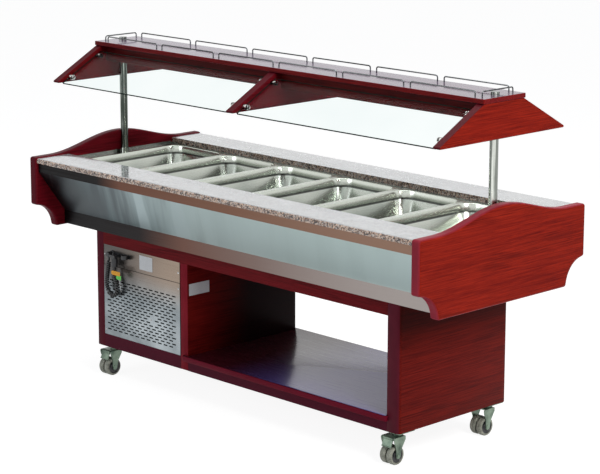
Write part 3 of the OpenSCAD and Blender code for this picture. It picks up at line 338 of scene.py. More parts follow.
def pan_sheet():
    """Drawn and polished sheet: a painted reflection that darkens it towards the floor, and a painted
    shade line at the shoulder.
    """
    s, hair = brushed_sheet("pan_sheet", Y, across=700)
    cloud = s.noise(size=4, detail=1, offset=(2, 5, 1))
    height = s.along(Z)
    upright = s.times(s.span(s.facing(Z), 0.5, 0.85, 1.0, 0.0), s.span(height, 0.83, 0.842, 1.0, 0.0))
    # Painted reflection: the sheet darkens towards the pan's floor.
    colour = s.ramp(s.span(height, 0.702, 0.835), (0.0, srgb(94, 102, 97)), (0.5, srgb(138, 145, 137)),
                    (1.0, srgb(204, 209, 199)))
    wall = s.ramp(cloud, (0.38, srgb(112, 120, 114)), (0.62, srgb(180, 184, 176)))
    colour = s.blend(s.times(upright, 0.5), colour, wall)
    colour = s.blend(s.span(hair, 0.35, 0.65, 0.0, 0.12), colour, srgb(222, 224, 216))
    # A painted shade line in the crease of the wall's shoulder step.
    shoulder = s.times(s.span(height, 0.8155, 0.8175), s.span(height, 0.8225, 0.8245, 1.0, 0.0))
    colour = s.blend(s.times(s.times(shoulder, upright), 0.85), colour, srgb(30, 32, 31))
    return finish_sheet(s, hair, colour, 0.17, 0.27)


def fascia():
    """Brushed sheet with painted reflections: brighter on the slanted face than on the two upright strips,
    dark towards one end, and with soft upright painted reflection streaks at that end."""
    s, hair = brushed_sheet("fascia_sheet", X, along=1.2)
    along = s.along(X)
    height = s.along(Z)
    slanted = s.span(s.facing(Z), 0.1, 0.25)
    upper = s.span(height, 0.74, 0.78)
    at = s.span(along, -1.02, 0.98)
    lean = s.vector(s.math("ADD", along, s.times(s.along(Y), 0.85)), 0.0, s.times(height, 0.12))
    painted_reflection_streaks = s.noise(size=8.5, rough=0.5, vector=lean)
    reach = s.span(along, -0.75, 0.05, 1.0, 0.06)
    # Painted reflections: the slanted face is bright, dark towards the left end, with dark and bright
    # streaks there.
    face = s.ramp(at, (0.0, srgb(22, 30, 34)), (0.07, srgb(60, 76, 80)), (0.2, srgb(124, 140, 142)),
                  (0.4, srgb(148, 164, 164)), (1.0, srgb(166, 184, 182)))
    face = s.blend(s.times(s.span(painted_reflection_streaks, 0.48, 0.62, 0.0, 0.8), reach), face, srgb(34, 46, 52))
    face = s.blend(s.times(s.span(painted_reflection_streaks, 0.46, 0.36, 0.0, 0.55), reach), face, srgb(176, 192, 196))
    # Painted reflections of the dark-red wood and its surroundings on the upright strips, darkest at the
    # left end.
    top = s.ramp(at, (0.0, srgb(14, 10, 10)), (0.09, srgb(20, 14, 13)), (0.16, srgb(98, 64, 50)),
                 (0.6, srgb(112, 80, 64)), (1.0, srgb(130, 102, 86)))
    low = s.ramp(at, (0.0, srgb(20, 17, 18)), (0.14, srgb(30, 24, 24)), (0.3, srgb(100, 70, 60)),
                 (0.6, srgb(116, 98, 92)), (1.0, srgb(150, 142, 138)))
    strips = s.blend(upper, low, top)
    colour = s.blend(slanted, strips, face)
    colour = s.blend(s.span(hair, 0.35, 0.65), colour, (0.016, 0.018, 0.019, 1), "ADD")
    return finish_sheet(s, hair, colour, 0.3, 0.42)


BAY_SEAM_Z = 0.459


def bay_sheet():
    """Brushed front of the machine bay: brownish at the top with painted shade towards its left end,
    cooler below, dark along its seam, and with painted shade on its edges and in its slots."""
    s, hair = brushed_sheet("bay_sheet", X)
    cloud = s.noise(size=6, detail=3, offset=(2, 5, 1))
    height = s.along(Z)
    along = s.along(X)
    # Painted shade: the top darkens towards the left end.
    warm = s.ramp(s.span(along, -0.76, -0.36), (0.0, srgb(76, 72, 70)), (0.45, srgb(112, 102, 94)),
                  (1.0, srgb(142, 126, 112)))
    cool = s.ramp(cloud, (0.36, srgb(120, 128, 132)), (0.64, srgb(164, 172, 176)))
    colour = s.blend(s.span(height, 0.33, 0.47), cool, warm)
    colour = s.blend(s.span(hair, 0.35, 0.65), colour, (0.03, 0.03, 0.03, 1), "ADD")
    from_seam = s.math("ABSOLUTE", s.math("SUBTRACT", height, BAY_SEAM_Z))
    colour = s.blend(s.span(from_seam, 0.0009, 0.0016, 0.85, 0.0), colour, srgb(26, 22, 22))
    # Painted shade on the sheet's edges and the sides of its slots.
    colour = s.blend(s.span(s.facing(Y), 0.4, 0.6, 0.9, 0.0), colour, srgb(14, 14, 15))
    return finish_sheet(s, hair, colour, 0.26, 0.38)


def chrome(name, along, dark, light, fine, bands=0.0):
    """Polished tube or wire with darker streaks along one axis, and painted reflection strips darker by
    the share bands.
    """
    s = Shader(name, metallic=1.0)
    streaks = s.noise(stretched(along, 0.6, fine), 2.2, 2, 0.4)
    film = s.noise(size=14, detail=4)
    tone = s.math("ADD", s.times(streaks, 0.85), s.times(film, 0.15))
    colour = s.ramp(tone, (0.42, dark), (0.58, light))
    # Painted reflection: dark strips along the tube where its surface faces certain ways round it.
    if bands:
        side = s.facing(X)
        band = s.math("MAXIMUM", s.span(side, 0.3, 0.12), s.span(side, 0.86, 0.95))
        colour = s.blend(s.times(band, bands), colour, dark)
    s.set(base_color=colour, roughness=s.span(streaks, 0.3, 0.7, 0.1, 0.2))
    s.bump(streaks, 0.00003, 0.4)
    return s.material


def glass():
    """Clear pane; its ground edges, which don't face up like the pane does, are dark green."""
    s = Shader("clear_glass", ior=1.07)
    edge = s.span(s.facing(Z), 0.55, 0.8, 1.0, 0.0)
    haze = s.noise(size=3, detail=2)
    clear = s.ramp(haze, (0.3, srgb(243, 250, 249)), (0.7, srgb(249, 254, 253)))
    s.set(base_color=s.blend(edge, clear, srgb(20, 38, 34)), roughness=s.span(edge, 0.0, 1.0, 0.0, 0.25),
          transmission_weight=s.math("SUBTRACT", 1.0, edge))
    return s.material


def enamel(name, dark, light, rough, size, metal=0.0, coat=0.1):
    """Painted, plated or moulded surface: cloudy tone, orange-peel bump and small scuffs."""
    s = Shader(name, metallic=metal, coat_weight=coat, coat_roughness=0.2)
    cloud = s.noise(size=size, detail=4)
    peel = s.noise(size=900, detail=2)
    scuffs = s.span(s.noise(size=size * 9, detail=5, rough=0.75, twist=1.2), 0.64, 0.74)
    colour = s.blend(s.times(scuffs, 0.35), s.ramp(cloud, (0.32, dark), (0.68, light)),
                     tuple(min(1, 1.5 * v + 0.05) for v in light[:3]) + (1,))
    s.set(base_color=colour, roughness=s.span(cloud, 0.3, 0.7, rough - 0.08, rough + 0.1))
    s.bump(s.math("ADD", peel, s.times(scuffs, -1.0)), 0.00006, 0.5)
    return s.material


def foam():
    """Cut rigid foam, pale between its pores."""
    s = Shader("rigid_foam", roughness=0.9)
    pores = s.cells(420)
    s.set(base_color=s.ramp(pores, (0.0, srgb(176, 160, 104)), (0.6, srgb(226, 214, 164))))
    s.bump(pores, 0.0006, 0.8)
    return s.material


def paper(name, dark, light):
    """Plain matt card with fibres and a little soil."""
    s = Shader(name, roughness=0.75)
    fibres = s.noise(size=700, detail=5, rough=0.7, twist=1.0)
    soil = s.noise(size=40, detail=4)
    colour = s.ramp(fibres, (0.3, dark), (0.7, light))
    s.set(base_color=s.blend(s.span(soil, 0.45, 0.8, 0.0, 0.3), colour, dark))
    s.bump(fibres, 0.00005, 0.6)
    return s.material


def wheel_material(name, centre, tread_r):
    """Grey tread on a black hub, told apart by the distance from the axle."""
    s = Shader(name)
    offset = s.place(offset=tuple(-c for c in centre))
    squares = [s.math("POWER", s.part(offset, axis), 2.0) for axis in (Y, Z)]
    from_axle = s.math("SQRT", s.math("ADD", *squares))
    tread = s.span(from_axle, tread_r - 0.0006, tread_r + 0.0002)
    dust = s.noise(size=70, detail=5, rough=0.65)
    tyre = s.ramp(dust, (0.3, srgb(104, 106, 96)), (0.7, srgb(172, 174, 160)))
    hub = s.ramp(dust, (0.3, srgb(16, 16, 18)), (0.7, srgb(40, 41, 44)))
    s.set(base_color=s.blend(tread, hub, tyre), roughness=s.span(tread, 0, 1, 0.32, 0.6))
    s.bump(s.noise(size=500, detail=3), 0.0001, 0.4)
    return s.material


RED_DARK, RED_LIGHT = srgb(104, 14, 8), srgb(152, 36, 20)
BASE_DARK, BASE_LIGHT = srgb(78, 10, 8), srgb(118, 26, 18)
DEEP_DARK, DEEP_LIGHT = srgb(86, 12, 18), srgb(118, 24, 30)
PURPLE = srgb(76, 20, 40)

panel_wood = wood("panel_laminate", Y, RED_DARK, RED_LIGHT, (0, 0.1, 0.74), banded=(X, srgb(146, 46, 60)))
# A darker, more purple copy of the panel laminate for the left end panel: painted shade.
shaded_left_panel_wood = wood("panel_laminate_left_painted_shade", Y, srgb(82, 8, 18), srgb(120, 20, 32), (0, -0.1, 0.72),
                 banded=(X, srgb(92, 20, 32)))
# Its shade darkens the wings towards -x: painted shade on the left wing.
wing_wood = wood("wing_laminate", Y, RED_DARK, RED_LIGHT, (0, 0, 1.2), banded=(X, srgb(84, 16, 26)),
                 shade=(X, 0.8, -0.4, 0.75, srgb(82, 8, 20)))
# A darker copy of the laminate for the centre support: painted shade.
shaded_centre_wood = wood("centre_laminate_painted_shade", Y, srgb(76, 8, 16), srgb(112, 18, 28), (0, -0.1, 1.2),
                   banded=(X, srgb(84, 14, 26)))
# Its shade darkens the base ends towards their top: a painted shadow under the end panel's overhang.
end_wood = wood("base_end_laminate", Y, BASE_DARK, BASE_LIGHT, (0, 0.05, 0.3),
                banded=(X, srgb(92, 28, 42)), shade=(Z, 0.42, 0.53, 0.7, srgb(28, 7, 7)))
# Its shade darkens the divider's sides towards the back: painted shade inside the opening.
divider_wood = wood("divider_laminate", Y, srgb(80, 10, 10), srgb(122, 26, 22), (0, -0.2, 0.3), gloss=0.02,
                    banded=(X, srgb(134, 34, 46)), shade=(Y, -0.24, 0.06, 0.96, srgb(12, 4, 6)))
rail_wood = wood("rail_laminate", X, DEEP_DARK, DEEP_LIGHT, (0, 0, 0.5), lower=PURPLE)
# Its film colour is a painted reflection tone on the top face.
board_wood = wood("canopy_laminate", X, srgb(92, 14, 16), srgb(130, 28, 26), (0.2, 0, 1.3), rough=0.3,
                  sheen=0.2, film=(srgb(64, 38, 48), 0.8, 0.09))
beam_wood = wood("beam_laminate", X, srgb(56, 8, 10), srgb(88, 18, 18), (0, 0, 1.26), gloss=0.05)
# Its film colour is a painted reflection tone on the top; its shade turns the top lavender towards +x, a
# painted reflection of the bright background.
shelf_wood = wood("shelf_laminate", X, srgb(50, 8, 16), srgb(80, 18, 30), (0.3, 0, 0.18), rough=0.3,
                  banded=(Z, srgb(112, 18, 40)), film=(srgb(54, 16, 26), 0.5, 0.2),
                  shade=(X, -0.1, 0.35, 0.9, srgb(94, 84, 160)))

stone = granite()
sheet_steel = steel("brushed_sheet", X, srgb(104, 98, 94), srgb(146, 138, 132), 0.32)
fascia_steel = fascia()
bay_steel = bay_sheet()
tub_steel = steel("tub_sheet", X, srgb(120, 122, 118), srgb(180, 182, 176), 0.2)
pan_steel = pan_sheet()
fitting_steel = steel("turned_steel", Z, srgb(140, 140, 142), srgb(196, 196, 198), 0.22)
chrome_tube = chrome("chromed_tube", Z, srgb(64, 72, 66), srgb(226, 230, 222), 58, 0.7)
chrome_wire = chrome("chromed_wire", X, srgb(34, 36, 38), srgb(128, 132, 134), 150)
clamp_steel = chrome("clamp_chrome", Z, srgb(40, 34, 34), srgb(210, 208, 204), 90)
zinc = enamel("zinc_plate", srgb(74, 92, 80), srgb(138, 156, 138), 0.34, 26, metal=0.75)
black_plastic = enamel("black_plastic", srgb(14, 14, 16), srgb(40, 41, 45), 0.4, 40)
machine_black = enamel("machine_paint", srgb(12, 12, 13), srgb(34, 35, 37), 0.42, 18)
fins_metal = enamel("fin_sheet", srgb(20, 21, 23), srgb(44, 46, 49), 0.4, 30, metal=0.9, coat=0.0)
copper = enamel("copper_pipe", srgb(150, 84, 52), srgb(206, 132, 88), 0.3, 22, metal=1.0, coat=0.0)
pipe_grey = enamel("grey_pipe", srgb(126, 128, 130), srgb(164, 166, 168), 0.5, 24)
lamp_white = enamel("lamp_white", srgb(216, 216, 210), srgb(244, 244, 240), 0.35, 20)
plate_white = paper("blank_plate", srgb(186, 188, 190), srgb(224, 226, 228))
foam_core = foam()
rubber = enamel("cord_rubber", srgb(10, 10, 12), srgb(34, 35, 38), 0.42, 60)
tag_yellow = paper("yellow_tag", srgb(214, 138, 34), srgb(246, 184, 62))
tag_green = paper("green_tag", srgb(84, 190, 74), srgb(132, 232, 110))
string_white = paper("white_string", srgb(206, 206, 200), srgb(240, 240, 236))
pane_glass = glass()

PAN_COUNT = 6
CASTER_X, CASTER_Y = 0.78, 0.24
CORNERS = {"fl": (-CASTER_X, -CASTER_Y), "fr": (CASTER_X, -CASTER_Y),
           "bl": (-CASTER_X, CASTER_Y), "br": (CASTER_X, CASTER_Y)}

looks = {
    "end_panel_left": shaded_left_panel_wood, "end_panel_right": panel_wood, "granite_strips": stone,
    "well_tub": tub_steel, "well_insulation": foam_core, "fascias": fascia_steel,
    "well_tray": sheet_steel, "pan_bars": tub_steel, "evaporator_coil": copper,
    "well_drain": pipe_grey, "base_end_left": end_wood, "base_end_right": end_wood,
    "base_divider": divider_wood, "base_rails": rail_wood, "base_shelf": shelf_wood,
    "base_bottom": rail_wood, "service_cover": bay_steel, "service_grille": bay_steel,
    "rear_panel": sheet_steel, "compressor": machine_black, "condenser": fins_metal,
    "fan_motor": machine_black, "fan_blades": fins_metal, "control_box": black_plastic,
    "power_rocker": black_plastic, "thermostat_knob": black_plastic, "cord_gland": black_plastic,
    "power_cord": rubber, "cord_plug": black_plastic, "plug_holder": black_plastic,
    "cord_tags": tag_yellow, "blank_plates": plate_white, "panel_screws": fitting_steel,
    "posts": chrome_tube, "post_sockets": chrome_tube, "canopy_board": board_wood,
    "canopy_beam": beam_wood, "canopy_lamps": lamp_white, "canopy_wings": wing_wood,
    "centre_support": shaded_centre_wood, "glass_panes": pane_glass, "glass_clamps": clamp_steel,
    "gallery_rails": chrome_wire, "caster_plates": zinc}
looks.update({f"pan_{i}": pan_steel for i in range(1, PAN_COUNT + 1)})
looks.update({f"fork_{corner}": zinc for corner in CORNERS})
looks.update({f"brake_pedal_{corner}": zinc for corner in ("fl", "fr")})


def wear(obj, material):
    obj.data.materials.clear()
    obj.data.materials.append(material)


for name, material in looks.items():
    wear(nodes[name], material)

# ---------------------------------------------------------------- mesh helpers


def new_piece(name, mesh, material, like):
    """A named object that rides with the CAD node it is like."""
    obj = bpy.data.objects.new(name, mesh)
    bpy.context.scene.collection.objects.link(obj)
    wear(obj, material)
    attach(obj, nodes[like]["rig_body"])
    return obj


def finish_mesh(bm, name, angle=35):
    """The mesh of a bmesh, smooth except where faces meet at more than the angle."""
    bmesh.ops.recalc_face_normals(bm, faces=bm.faces)
    mesh = bpy.data.meshes.new(name)
    bm.to_mesh(mesh)
    bm.free()
    mesh.shade_smooth()
    mesh.set_sharp_from_angle(angle=math.radians(angle))
    return mesh


def skin(bm, rings, closed_ends=True):
    """Faces between rings of vertices, with a cap at either end."""
    n = len(rings[0])
    for low, high in zip(rings, rings[1:]):
        for i in range(n):
            bm.faces.new((low[i], low[(i + 1) % n], high[(i + 1) % n], high[i]))
    if closed_ends:
        bm.faces.new(rings[0][::-1])
        bm.faces.new(rings[-1])


def around(steps):
    """Angles of equal steps round a circle."""
    return [2 * math.pi * k / steps for k in range(steps)]


def tube_mesh(name, path, radius, sides):
    """A closed round tube along a path, with rings that don't twist."""
    points = [Vector(p) for p in path]
    bm = bmesh.new()
    rings = []
    side = None
    for k, p in enumerate(points):
        ahead = (points[min(k + 1, len(points) - 1)] - points[max(k - 1, 0)]).normalized()
        if side is None:
            side = ahead.orthogonal()
        side = (side - side.dot(ahead) * ahead).normalized()
        other = ahead.cross(side)
        rings.append([bm.verts.new(p + radius * (math.cos(a) * side + math.sin(a) * other))
                      for a in around(sides)])
    skin(bm, rings)
    return finish_mesh(bm, name, 50)


def lathe(bm, profile, centre, axis, steps):
    """Turn a closed profile of (distance along the axis, radius) round an axis."""
    along = Vector([1 if i == axis else 0 for i in range(3)])
    side = along.orthogonal().normalized()
    other = along.cross(side)
    rings = [[bm.verts.new(Vector(centre) + d * along + r * (math.cos(a) * side + math.sin(a) * other))
              for d, r in profile] for a in around(steps)]
    skin(bm, rings + rings[:1], closed_ends=False)


# ---------------------------------------------------------------- cord

MM = 0.001
CORD_D = 7 * MM
CURL_R = 6 * MM
CURL_PITCH = 7.9 * MM
CURL_SPREAD = 1.5 * MM
CORD_LEAD = 9 * MM
GROW_L = 15 * MM
GROW_PITCH = 10 * MM
STEPS_PER_CURL = 24
STEPS_PER_POINT = 12
AHEAD = 3 * MM
BEND_OVER = 4 * MM
BEND_LIMIT = 0.6
CORD_Y = -306 * MM
GLAND = Vector((-731 * MM, CORD_Y, 498 * MM))
GLAND_Z = 510 * MM
PLUG = Vector((-697 * MM, CORD_Y, 450 * MM))
PLUG_TOP = 503 * MM
BAY_Y = -287.5 * MM
COIL_ROUTE = [Vector((GLAND.x + x * MM, GLAND.z + z * MM)) for x, z in (
    (0, 0), (0, -9), (-3, -32), (-9, -60), (-14, -90), (-14, -116), (-5, -139), (14, -151),
    (34, -149), (48, -135), (51, -115), (45, -96), (38, -78))]
COIL_ROUTE += [Vector((PLUG.x, PLUG.z - 12 * MM)), Vector((PLUG.x, PLUG.z))]


def spline(p, t):
    """A point of the smooth curve through the points p."""
    n = len(p) - 1
    i = min(int(t), n - 1)
    f = t - i
    a, b, c, d = p[max(i - 1, 0)], p[i], p[i + 1], p[min(i + 2, n)]
    m0 = c - b if i == 0 else (c - a) / 2
    m1 = c - b if i == n - 1 else (d - b) / 2
    return ((2 * f**3 - 3 * f**2 + 1) * b + (f**3 - 2 * f**2 + f) * m0
            + (3 * f**2 - 2 * f**3) * c + (f**3 - f**2) * m1)


def coil_path():
    """The cord's own centreline, curled round the same route as in the CAD."""
    count = (len(COIL_ROUTE) - 1) * STEPS_PER_POINT
    route = [spline(COIL_ROUTE, k / STEPS_PER_POINT) for k in range(count + 1)]
    at = [0.0]
    for a, b in zip(route, route[1:]):
        at.append(at[-1] + (b - a).length)
    total = at[-1]

    def point(s):
        i = max(k for k in range(len(at) - 1) if at[k] <= s or k == 0)
        return route[i] + (s - at[i]) / (at[i + 1] - at[i]) * (route[i + 1] - route[i])

    def direction(s):
        return (point(min(s + AHEAD, total)) - point(max(s - AHEAD, 0))).normalized()

    def bend(s):
        turned = direction(min(s + BEND_OVER, total)) - direction(max(s - BEND_OVER, 0))
        return turned.length / (2 * BEND_OVER)

    def grow(s):
        f = max(0, min(1, min(s - CORD_LEAD, total - CORD_LEAD - s) / GROW_L))
        return f * f * (3 - 2 * f)

    near, far = Vector((0, 0, 0.4 * CORD_LEAD)), Vector((0, 0, 0.8 * CORD_LEAD))
    path = [GLAND, GLAND - near, GLAND - far]
    s, k = CORD_LEAD, 0
    while s <= total - CORD_LEAD:
        centre, ahead = point(s), direction(s)
        turn = 2 * math.pi * k / STEPS_PER_CURL
        out, aside = (CURL_R * grow(s) * part for part in (math.cos(turn), math.sin(turn)))
        path.append(Vector((centre.x - out * ahead.y, CORD_Y + aside, centre.y + out * ahead.x)))
        pitch = CURL_PITCH / (1 - min(BEND_LIMIT, (CURL_R + CURL_SPREAD) * bend(s)))
        s += (pitch + GROW_PITCH * (1 - grow(s))) / STEPS_PER_CURL
        k += 1
    return path + [PLUG - far, PLUG - near, PLUG]


cord_path = coil_path()
cord_mesh = tube_mesh("curly_cord", cord_path, CORD_D / 2, 12)
cord = new_piece("curly_cord", cord_mesh, rubber, like="power_cord")
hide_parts("power_cord")

RIB_DEPTH = 0.7 * MM
ELBOW_END = -27.5 * MM
GLAND_RELIEF = 21.5 * MM
PLUG_RELIEF = 12 * MM
PLUG_SIDES = 48
# The plug's moulded body in mm, as (height, radius), and the depth and reach of its flutes.
PLUG_GRIP = [(12, 8.2), (13.5, 11.4), (16, 12.6), (20, 13), (46, 13), (50, 12.4), (52.6, 11), (53, 9)]
FLUTE_DEPTH = 0.9
FLUTES_FROM, FLUTES_TO = 18, 48
BLADE_SIZE = (1.6 * MM, 6 * MM, 18 * MM)
BLADE_ASIDE = 6.35 * MM
BLADE_BACK = 3 * MM
EARTH_PIN_FRONT = 6 * MM


def relief_profile(length, thick, thin, ribs):
    """Radii of a tapered strain relief with ribs round it, as (distance, radius)."""
    steps = ribs * 4
    profile = []
    for k in range(steps + 1):
        t = k / steps
        groove = RIB_DEPTH if k % 4 in (1, 2) and 0 < k < steps else 0
        profile.append((length * t, thick + (thin - thick) * t - groove))
    return profile


def make_gland():
    """Flange on the cover, elbow, and a ribbed strain relief that tapers down on to the cord."""
    bm = bmesh.new()
    foot = (GLAND.x, BAY_Y, GLAND_Z)
    lathe(bm, [(0, 0.001), (0, 0.0122), (-0.0012, 0.013), (-0.003, 0.0128), (-0.004, 0.0115),
               (-0.004, 0.001)], foot, Y, 40)
    lathe(bm, [(-0.004, 0.001), (-0.004, 0.0095), (-0.006, 0.01), (ELBOW_END + 0.002, 0.01),
               (ELBOW_END, 0.0082), (ELBOW_END, 0.001)], foot, Y, 40)
    relief = [(-d, r) for d, r in relief_profile(GLAND_RELIEF, 0.0075, 0.0046, 5)]
    lathe(bm, [(0, 0.0005)] + relief + [(-GLAND_RELIEF, 0.0005)], (GLAND.x, CORD_Y, GLAND_Z), Z, 32)
    mesh = finish_mesh(bm, "cord_gland_body")
    gland = new_piece("cord_gland_body", mesh, black_plastic, like="cord_gland")
    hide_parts("cord_gland")
    return gland


def make_plug():
    """Round moulded plug with grip flutes, its pins in the holder, and its strain relief."""
    bm = bmesh.new()
    rings = []
    for height, radius in PLUG_GRIP:
        ring = []
        for k, a in enumerate(around(PLUG_SIDES)):
            fluted = k % 4 == 0 and FLUTES_FROM < height < FLUTES_TO
            r = (radius - (FLUTE_DEPTH if fluted else 0)) * MM
            at = (PLUG.x + r * math.cos(a), CORD_Y + r * math.sin(a), PLUG.z + height * MM)
            ring.append(bm.verts.new(at))
        rings.append(ring)
    skin(bm, rings)
    relief = [(PLUG_RELIEF - d, r) for d, r in relief_profile(PLUG_RELIEF, 0.008, 0.005, 3)]
    lathe(bm, [(PLUG_RELIEF + 0.0005, 0.0005)] + relief + [(0, 0.0005)], PLUG, Z, 32)
    for side in (-1, 1):
        at = (PLUG.x + side * BLADE_ASIDE, CORD_Y + BLADE_BACK, PLUG_TOP + 8 * MM)
        blade = bmesh.ops.create_cube(bm, size=1)["verts"]
        bmesh.ops.scale(bm, vec=BLADE_SIZE, verts=blade)
        bmesh.ops.translate(bm, vec=at, verts=blade)
    lathe(bm, [(-0.001, 0.0003), (-0.001, 0.0024), (0.017, 0.0024), (0.018, 0.0016), (0.018, 0.0003)],
          (PLUG.x, CORD_Y - EARTH_PIN_FRONT, PLUG_TOP), Z, 24)
    mesh = finish_mesh(bm, "cord_plug_body", 40)
    plug = new_piece("cord_plug_body", mesh, black_plastic, like="cord_plug")
    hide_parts("cord_plug")
    return plug


RING_Z = PLUG.z - 4 * MM
TAG_Y = CORD_Y - 12 * MM
TAG_COLS, TAG_ROWS = 10, 4
TAG_HEIGHT = 17 * MM
TAG_HALF_THICK = 0.25 * MM
TAG_WAVE = 0.25 * MM
TAG_CURL = 0.2 * MM
TAG_POINT = 0.12
TAG_POINT_CUT = 0.45
STRING_R = 0.7 * MM
STRING_DROP = 52 * MM


def make_tag(name, x, z, width, curl, material):
    """A card from its tied end at x, which is narrowed, with a wave and a curl over its width."""
    bm = bmesh.new()
    skins = []
    for lift in (-TAG_HALF_THICK, TAG_HALF_THICK):
        grid = []
        for i in range(TAG_COLS + 1):
            u = i / TAG_COLS
            narrowed = 1 - max(0, TAG_POINT - u) / TAG_POINT * TAG_POINT_CUT
            column = []
            for j in range(TAG_ROWS + 1):
                v = (j / TAG_ROWS - 0.5) * narrowed
                wave = TAG_WAVE * math.cos(3 * u + 2 * v) - curl * math.sin(math.pi * u)
                column.append(bm.verts.new((x + u * width, TAG_Y + lift + wave, z + v * TAG_HEIGHT)))
            grid.append(column)
        for i in range(TAG_COLS):
            for j in range(TAG_ROWS):
                bm.faces.new((grid[i][j], grid[i + 1][j], grid[i + 1][j + 1], grid[i][j + 1]))
        skins.append(grid)
    low, high = skins
    border = [(i, 0) for i in range(TAG_COLS)] + [(TAG_COLS, j) for j in range(TAG_ROWS)]
    border += [(i, TAG_ROWS) for i in range(TAG_COLS, 0, -1)] + [(0, j) for j in range(TAG_ROWS, 0, -1)]
    for (a, b), (c, d) in zip(border, border[1:] + border[:1]):
        bm.faces.new((low[a][b], low[c][d], high[c][d], high[a][b]))
    return new_piece(name, finish_mesh(bm, name, 60), material, like="cord_tags")


def make_string(name, path):
    """A thin string along a path."""
    return new_piece(name, tube_mesh(name, path, STRING_R, 8), string_white, like="cord_tags")


def make_tags():
    """Two tie-on tags, a loop of string round the cord below the plug, and a loose end of string."""
    yellow = make_tag("tag_yellow", PLUG.x - 6 * MM, RING_Z - 3 * MM, 54 * MM, TAG_CURL, tag_yellow)
    green = make_tag("tag_green", PLUG.x + 24 * MM, RING_Z - 17.5 * MM, 30 * MM, -TAG_CURL, tag_green)
    loop = [(PLUG.x + 8 * MM * math.cos(a), CORD_Y - 3.5 * MM + 8 * MM * math.sin(a), RING_Z)
            for a in around(24) + [2 * math.pi]]
    top = Vector((PLUG.x + 40 * MM, TAG_Y, RING_Z - 24 * MM))
    drop = [top + Vector(((0.29 * t + 0.03 * math.sin(5 * t)) * STRING_DROP, 0.4 * MM * math.sin(9 * t),
                          -0.95 * t * STRING_DROP)) for t in (k / 20 for k in range(21))]
    pieces = [yellow, green, make_string("tag_loop", loop), make_string("tag_string", drop)]
    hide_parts("cord_tags")
    return pieces


gland = make_gland()
plug = make_plug()
tags = make_tags()

# ---------------------------------------------------------------- boards with softened edges

SOFT_EDGES = {"base_end_left": 0.0012, "base_end_right": 0.0012, "base_divider": 0.0012,
              "base_shelf": 0.004, "canopy_beam": 0.002, "service_cover": 0.0008, "pan_bars": 0.0015}
SHARP_ANGLE = 35


def soften(node, width):
    """A copy of a CAD node whose sharp edges are rounded, which stands for it."""
    bm = bmesh.new()
    bm.from_mesh(nodes[node].data)
    bmesh.ops.remove_doubles(bm, verts=bm.verts, dist=1e-5)
    bmesh.ops.dissolve_limit(bm, angle_limit=math.radians(1), verts=bm.verts, edges=bm.edges)
    limit = math.radians(SHARP_ANGLE)
    sharp = [e for e in bm.edges if len(e.link_faces) == 2 and e.calc_face_angle(0) > limit]
    bmesh.ops.bevel(bm, geom=sharp, offset=width, offset_type="OFFSET", segments=2,
                    profile=0.5, affect="EDGES", clamp_overlap=True, loop_slide=True)
    piece = new_piece(node + "_soft", finish_mesh(bm, node, 30), looks[node], like=node)
    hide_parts(node)


for node, width in SOFT_EDGES.items():
    soften(node, width)

# ---------------------------------------------------------------- pans

PAN_PITCH = 0.325
PAN_HALF = (0.162, 0.265)
PAN_Z = 0.700
CORNER_STEPS = 10
# Sections of a pan from its floor up and back down inside: (inset, height, corner radius) in mm.
PAN_OUTER = [(36, 0, 40), (28, 3, 44), (23, 11, 48), (14, 117, 54), (11.2, 119.6, 56), (11, 122, 56),
             (11, 147.4, 56), (9.6, 148.4, 54), (0.4, 148.5, 24), (0, 149, 24)]
PAN_INNER = [(0.2, 149.7, 24), (0.9, 150, 24), (9.8, 150, 54), (11.6, 149.5, 56), (12.4, 148.2, 56),
             (12.5, 122, 56), (12.8, 119.8, 56), (15.5, 117, 54), (24.5, 12, 48), (26.4, 7, 46),
             (30.5, 3.2, 44), (37.5, 1.5, 40)]


def rounded(hx, hy, r):
    """The outline of a rectangle of half sizes hx and hy with round corners."""
    corners = ((hx - r, hy - r, 0), (r - hx, hy - r, 90), (r - hx, r - hy, 180), (hx - r, r - hy, 270))
    return [(cx + r * math.cos(a), cy + r * math.sin(a)) for cx, cy, start in corners
            for a in (math.radians(start + 90 * i / CORNER_STEPS) for i in range(CORNER_STEPS + 1))]


def make_pan(i):
    """One drawn food pan, skinned over its sections, which stands for the CAD's."""
    bm = bmesh.new()
    centre = (i - (PAN_COUNT + 1) / 2) * PAN_PITCH
    rings = []
    for inset, height, radius in PAN_OUTER + PAN_INNER:
        outline = rounded(PAN_HALF[0] - inset * MM, PAN_HALF[1] - inset * MM, radius * MM)
        rings.append([bm.verts.new((centre + x, y, PAN_Z + height * MM)) for x, y in outline])
    skin(bm, rings)
    pan = new_piece(f"food_pan_{i}", finish_mesh(bm, f"food_pan_{i}", 50), pan_steel, like=f"pan_{i}")
    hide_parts(f"pan_{i}")


for i in range(1, PAN_COUNT + 1):
    make_pan(i)

# ---------------------------------------------------------------- wheels

WHEEL_R = 0.035
WHEEL_TRAIL = 0.030
TREAD_R = 26.6
BORE_R = 5.2
# One wheel in mm, as (distance from the middle of the axle, radius), from its bore round the tread.
WHEEL_PROFILE = [(3, BORE_R), (3, 12), (3, 23), (4.5, 24.5), (3.4, TREAD_R), (3, 29.2), (4.2, 32.8),
                 (8, 35), (13, 35), (14.4, 34.4), (15.8, 34.4), (17.2, 35), (23, 35), (26.8, 32.9),
                 (28, 29.6), (27.6, TREAD_R), (26.4, 24.6), (25, 23.5), (24.6, 15.2), (26.4, 14),
                 (28, 12.6), (28, 6.2), (24, BORE_R)]
AXLE_SLEEVE = [(-3.2, BORE_R), (-3.2, 11), (3.2, 11), (3.2, BORE_R)]


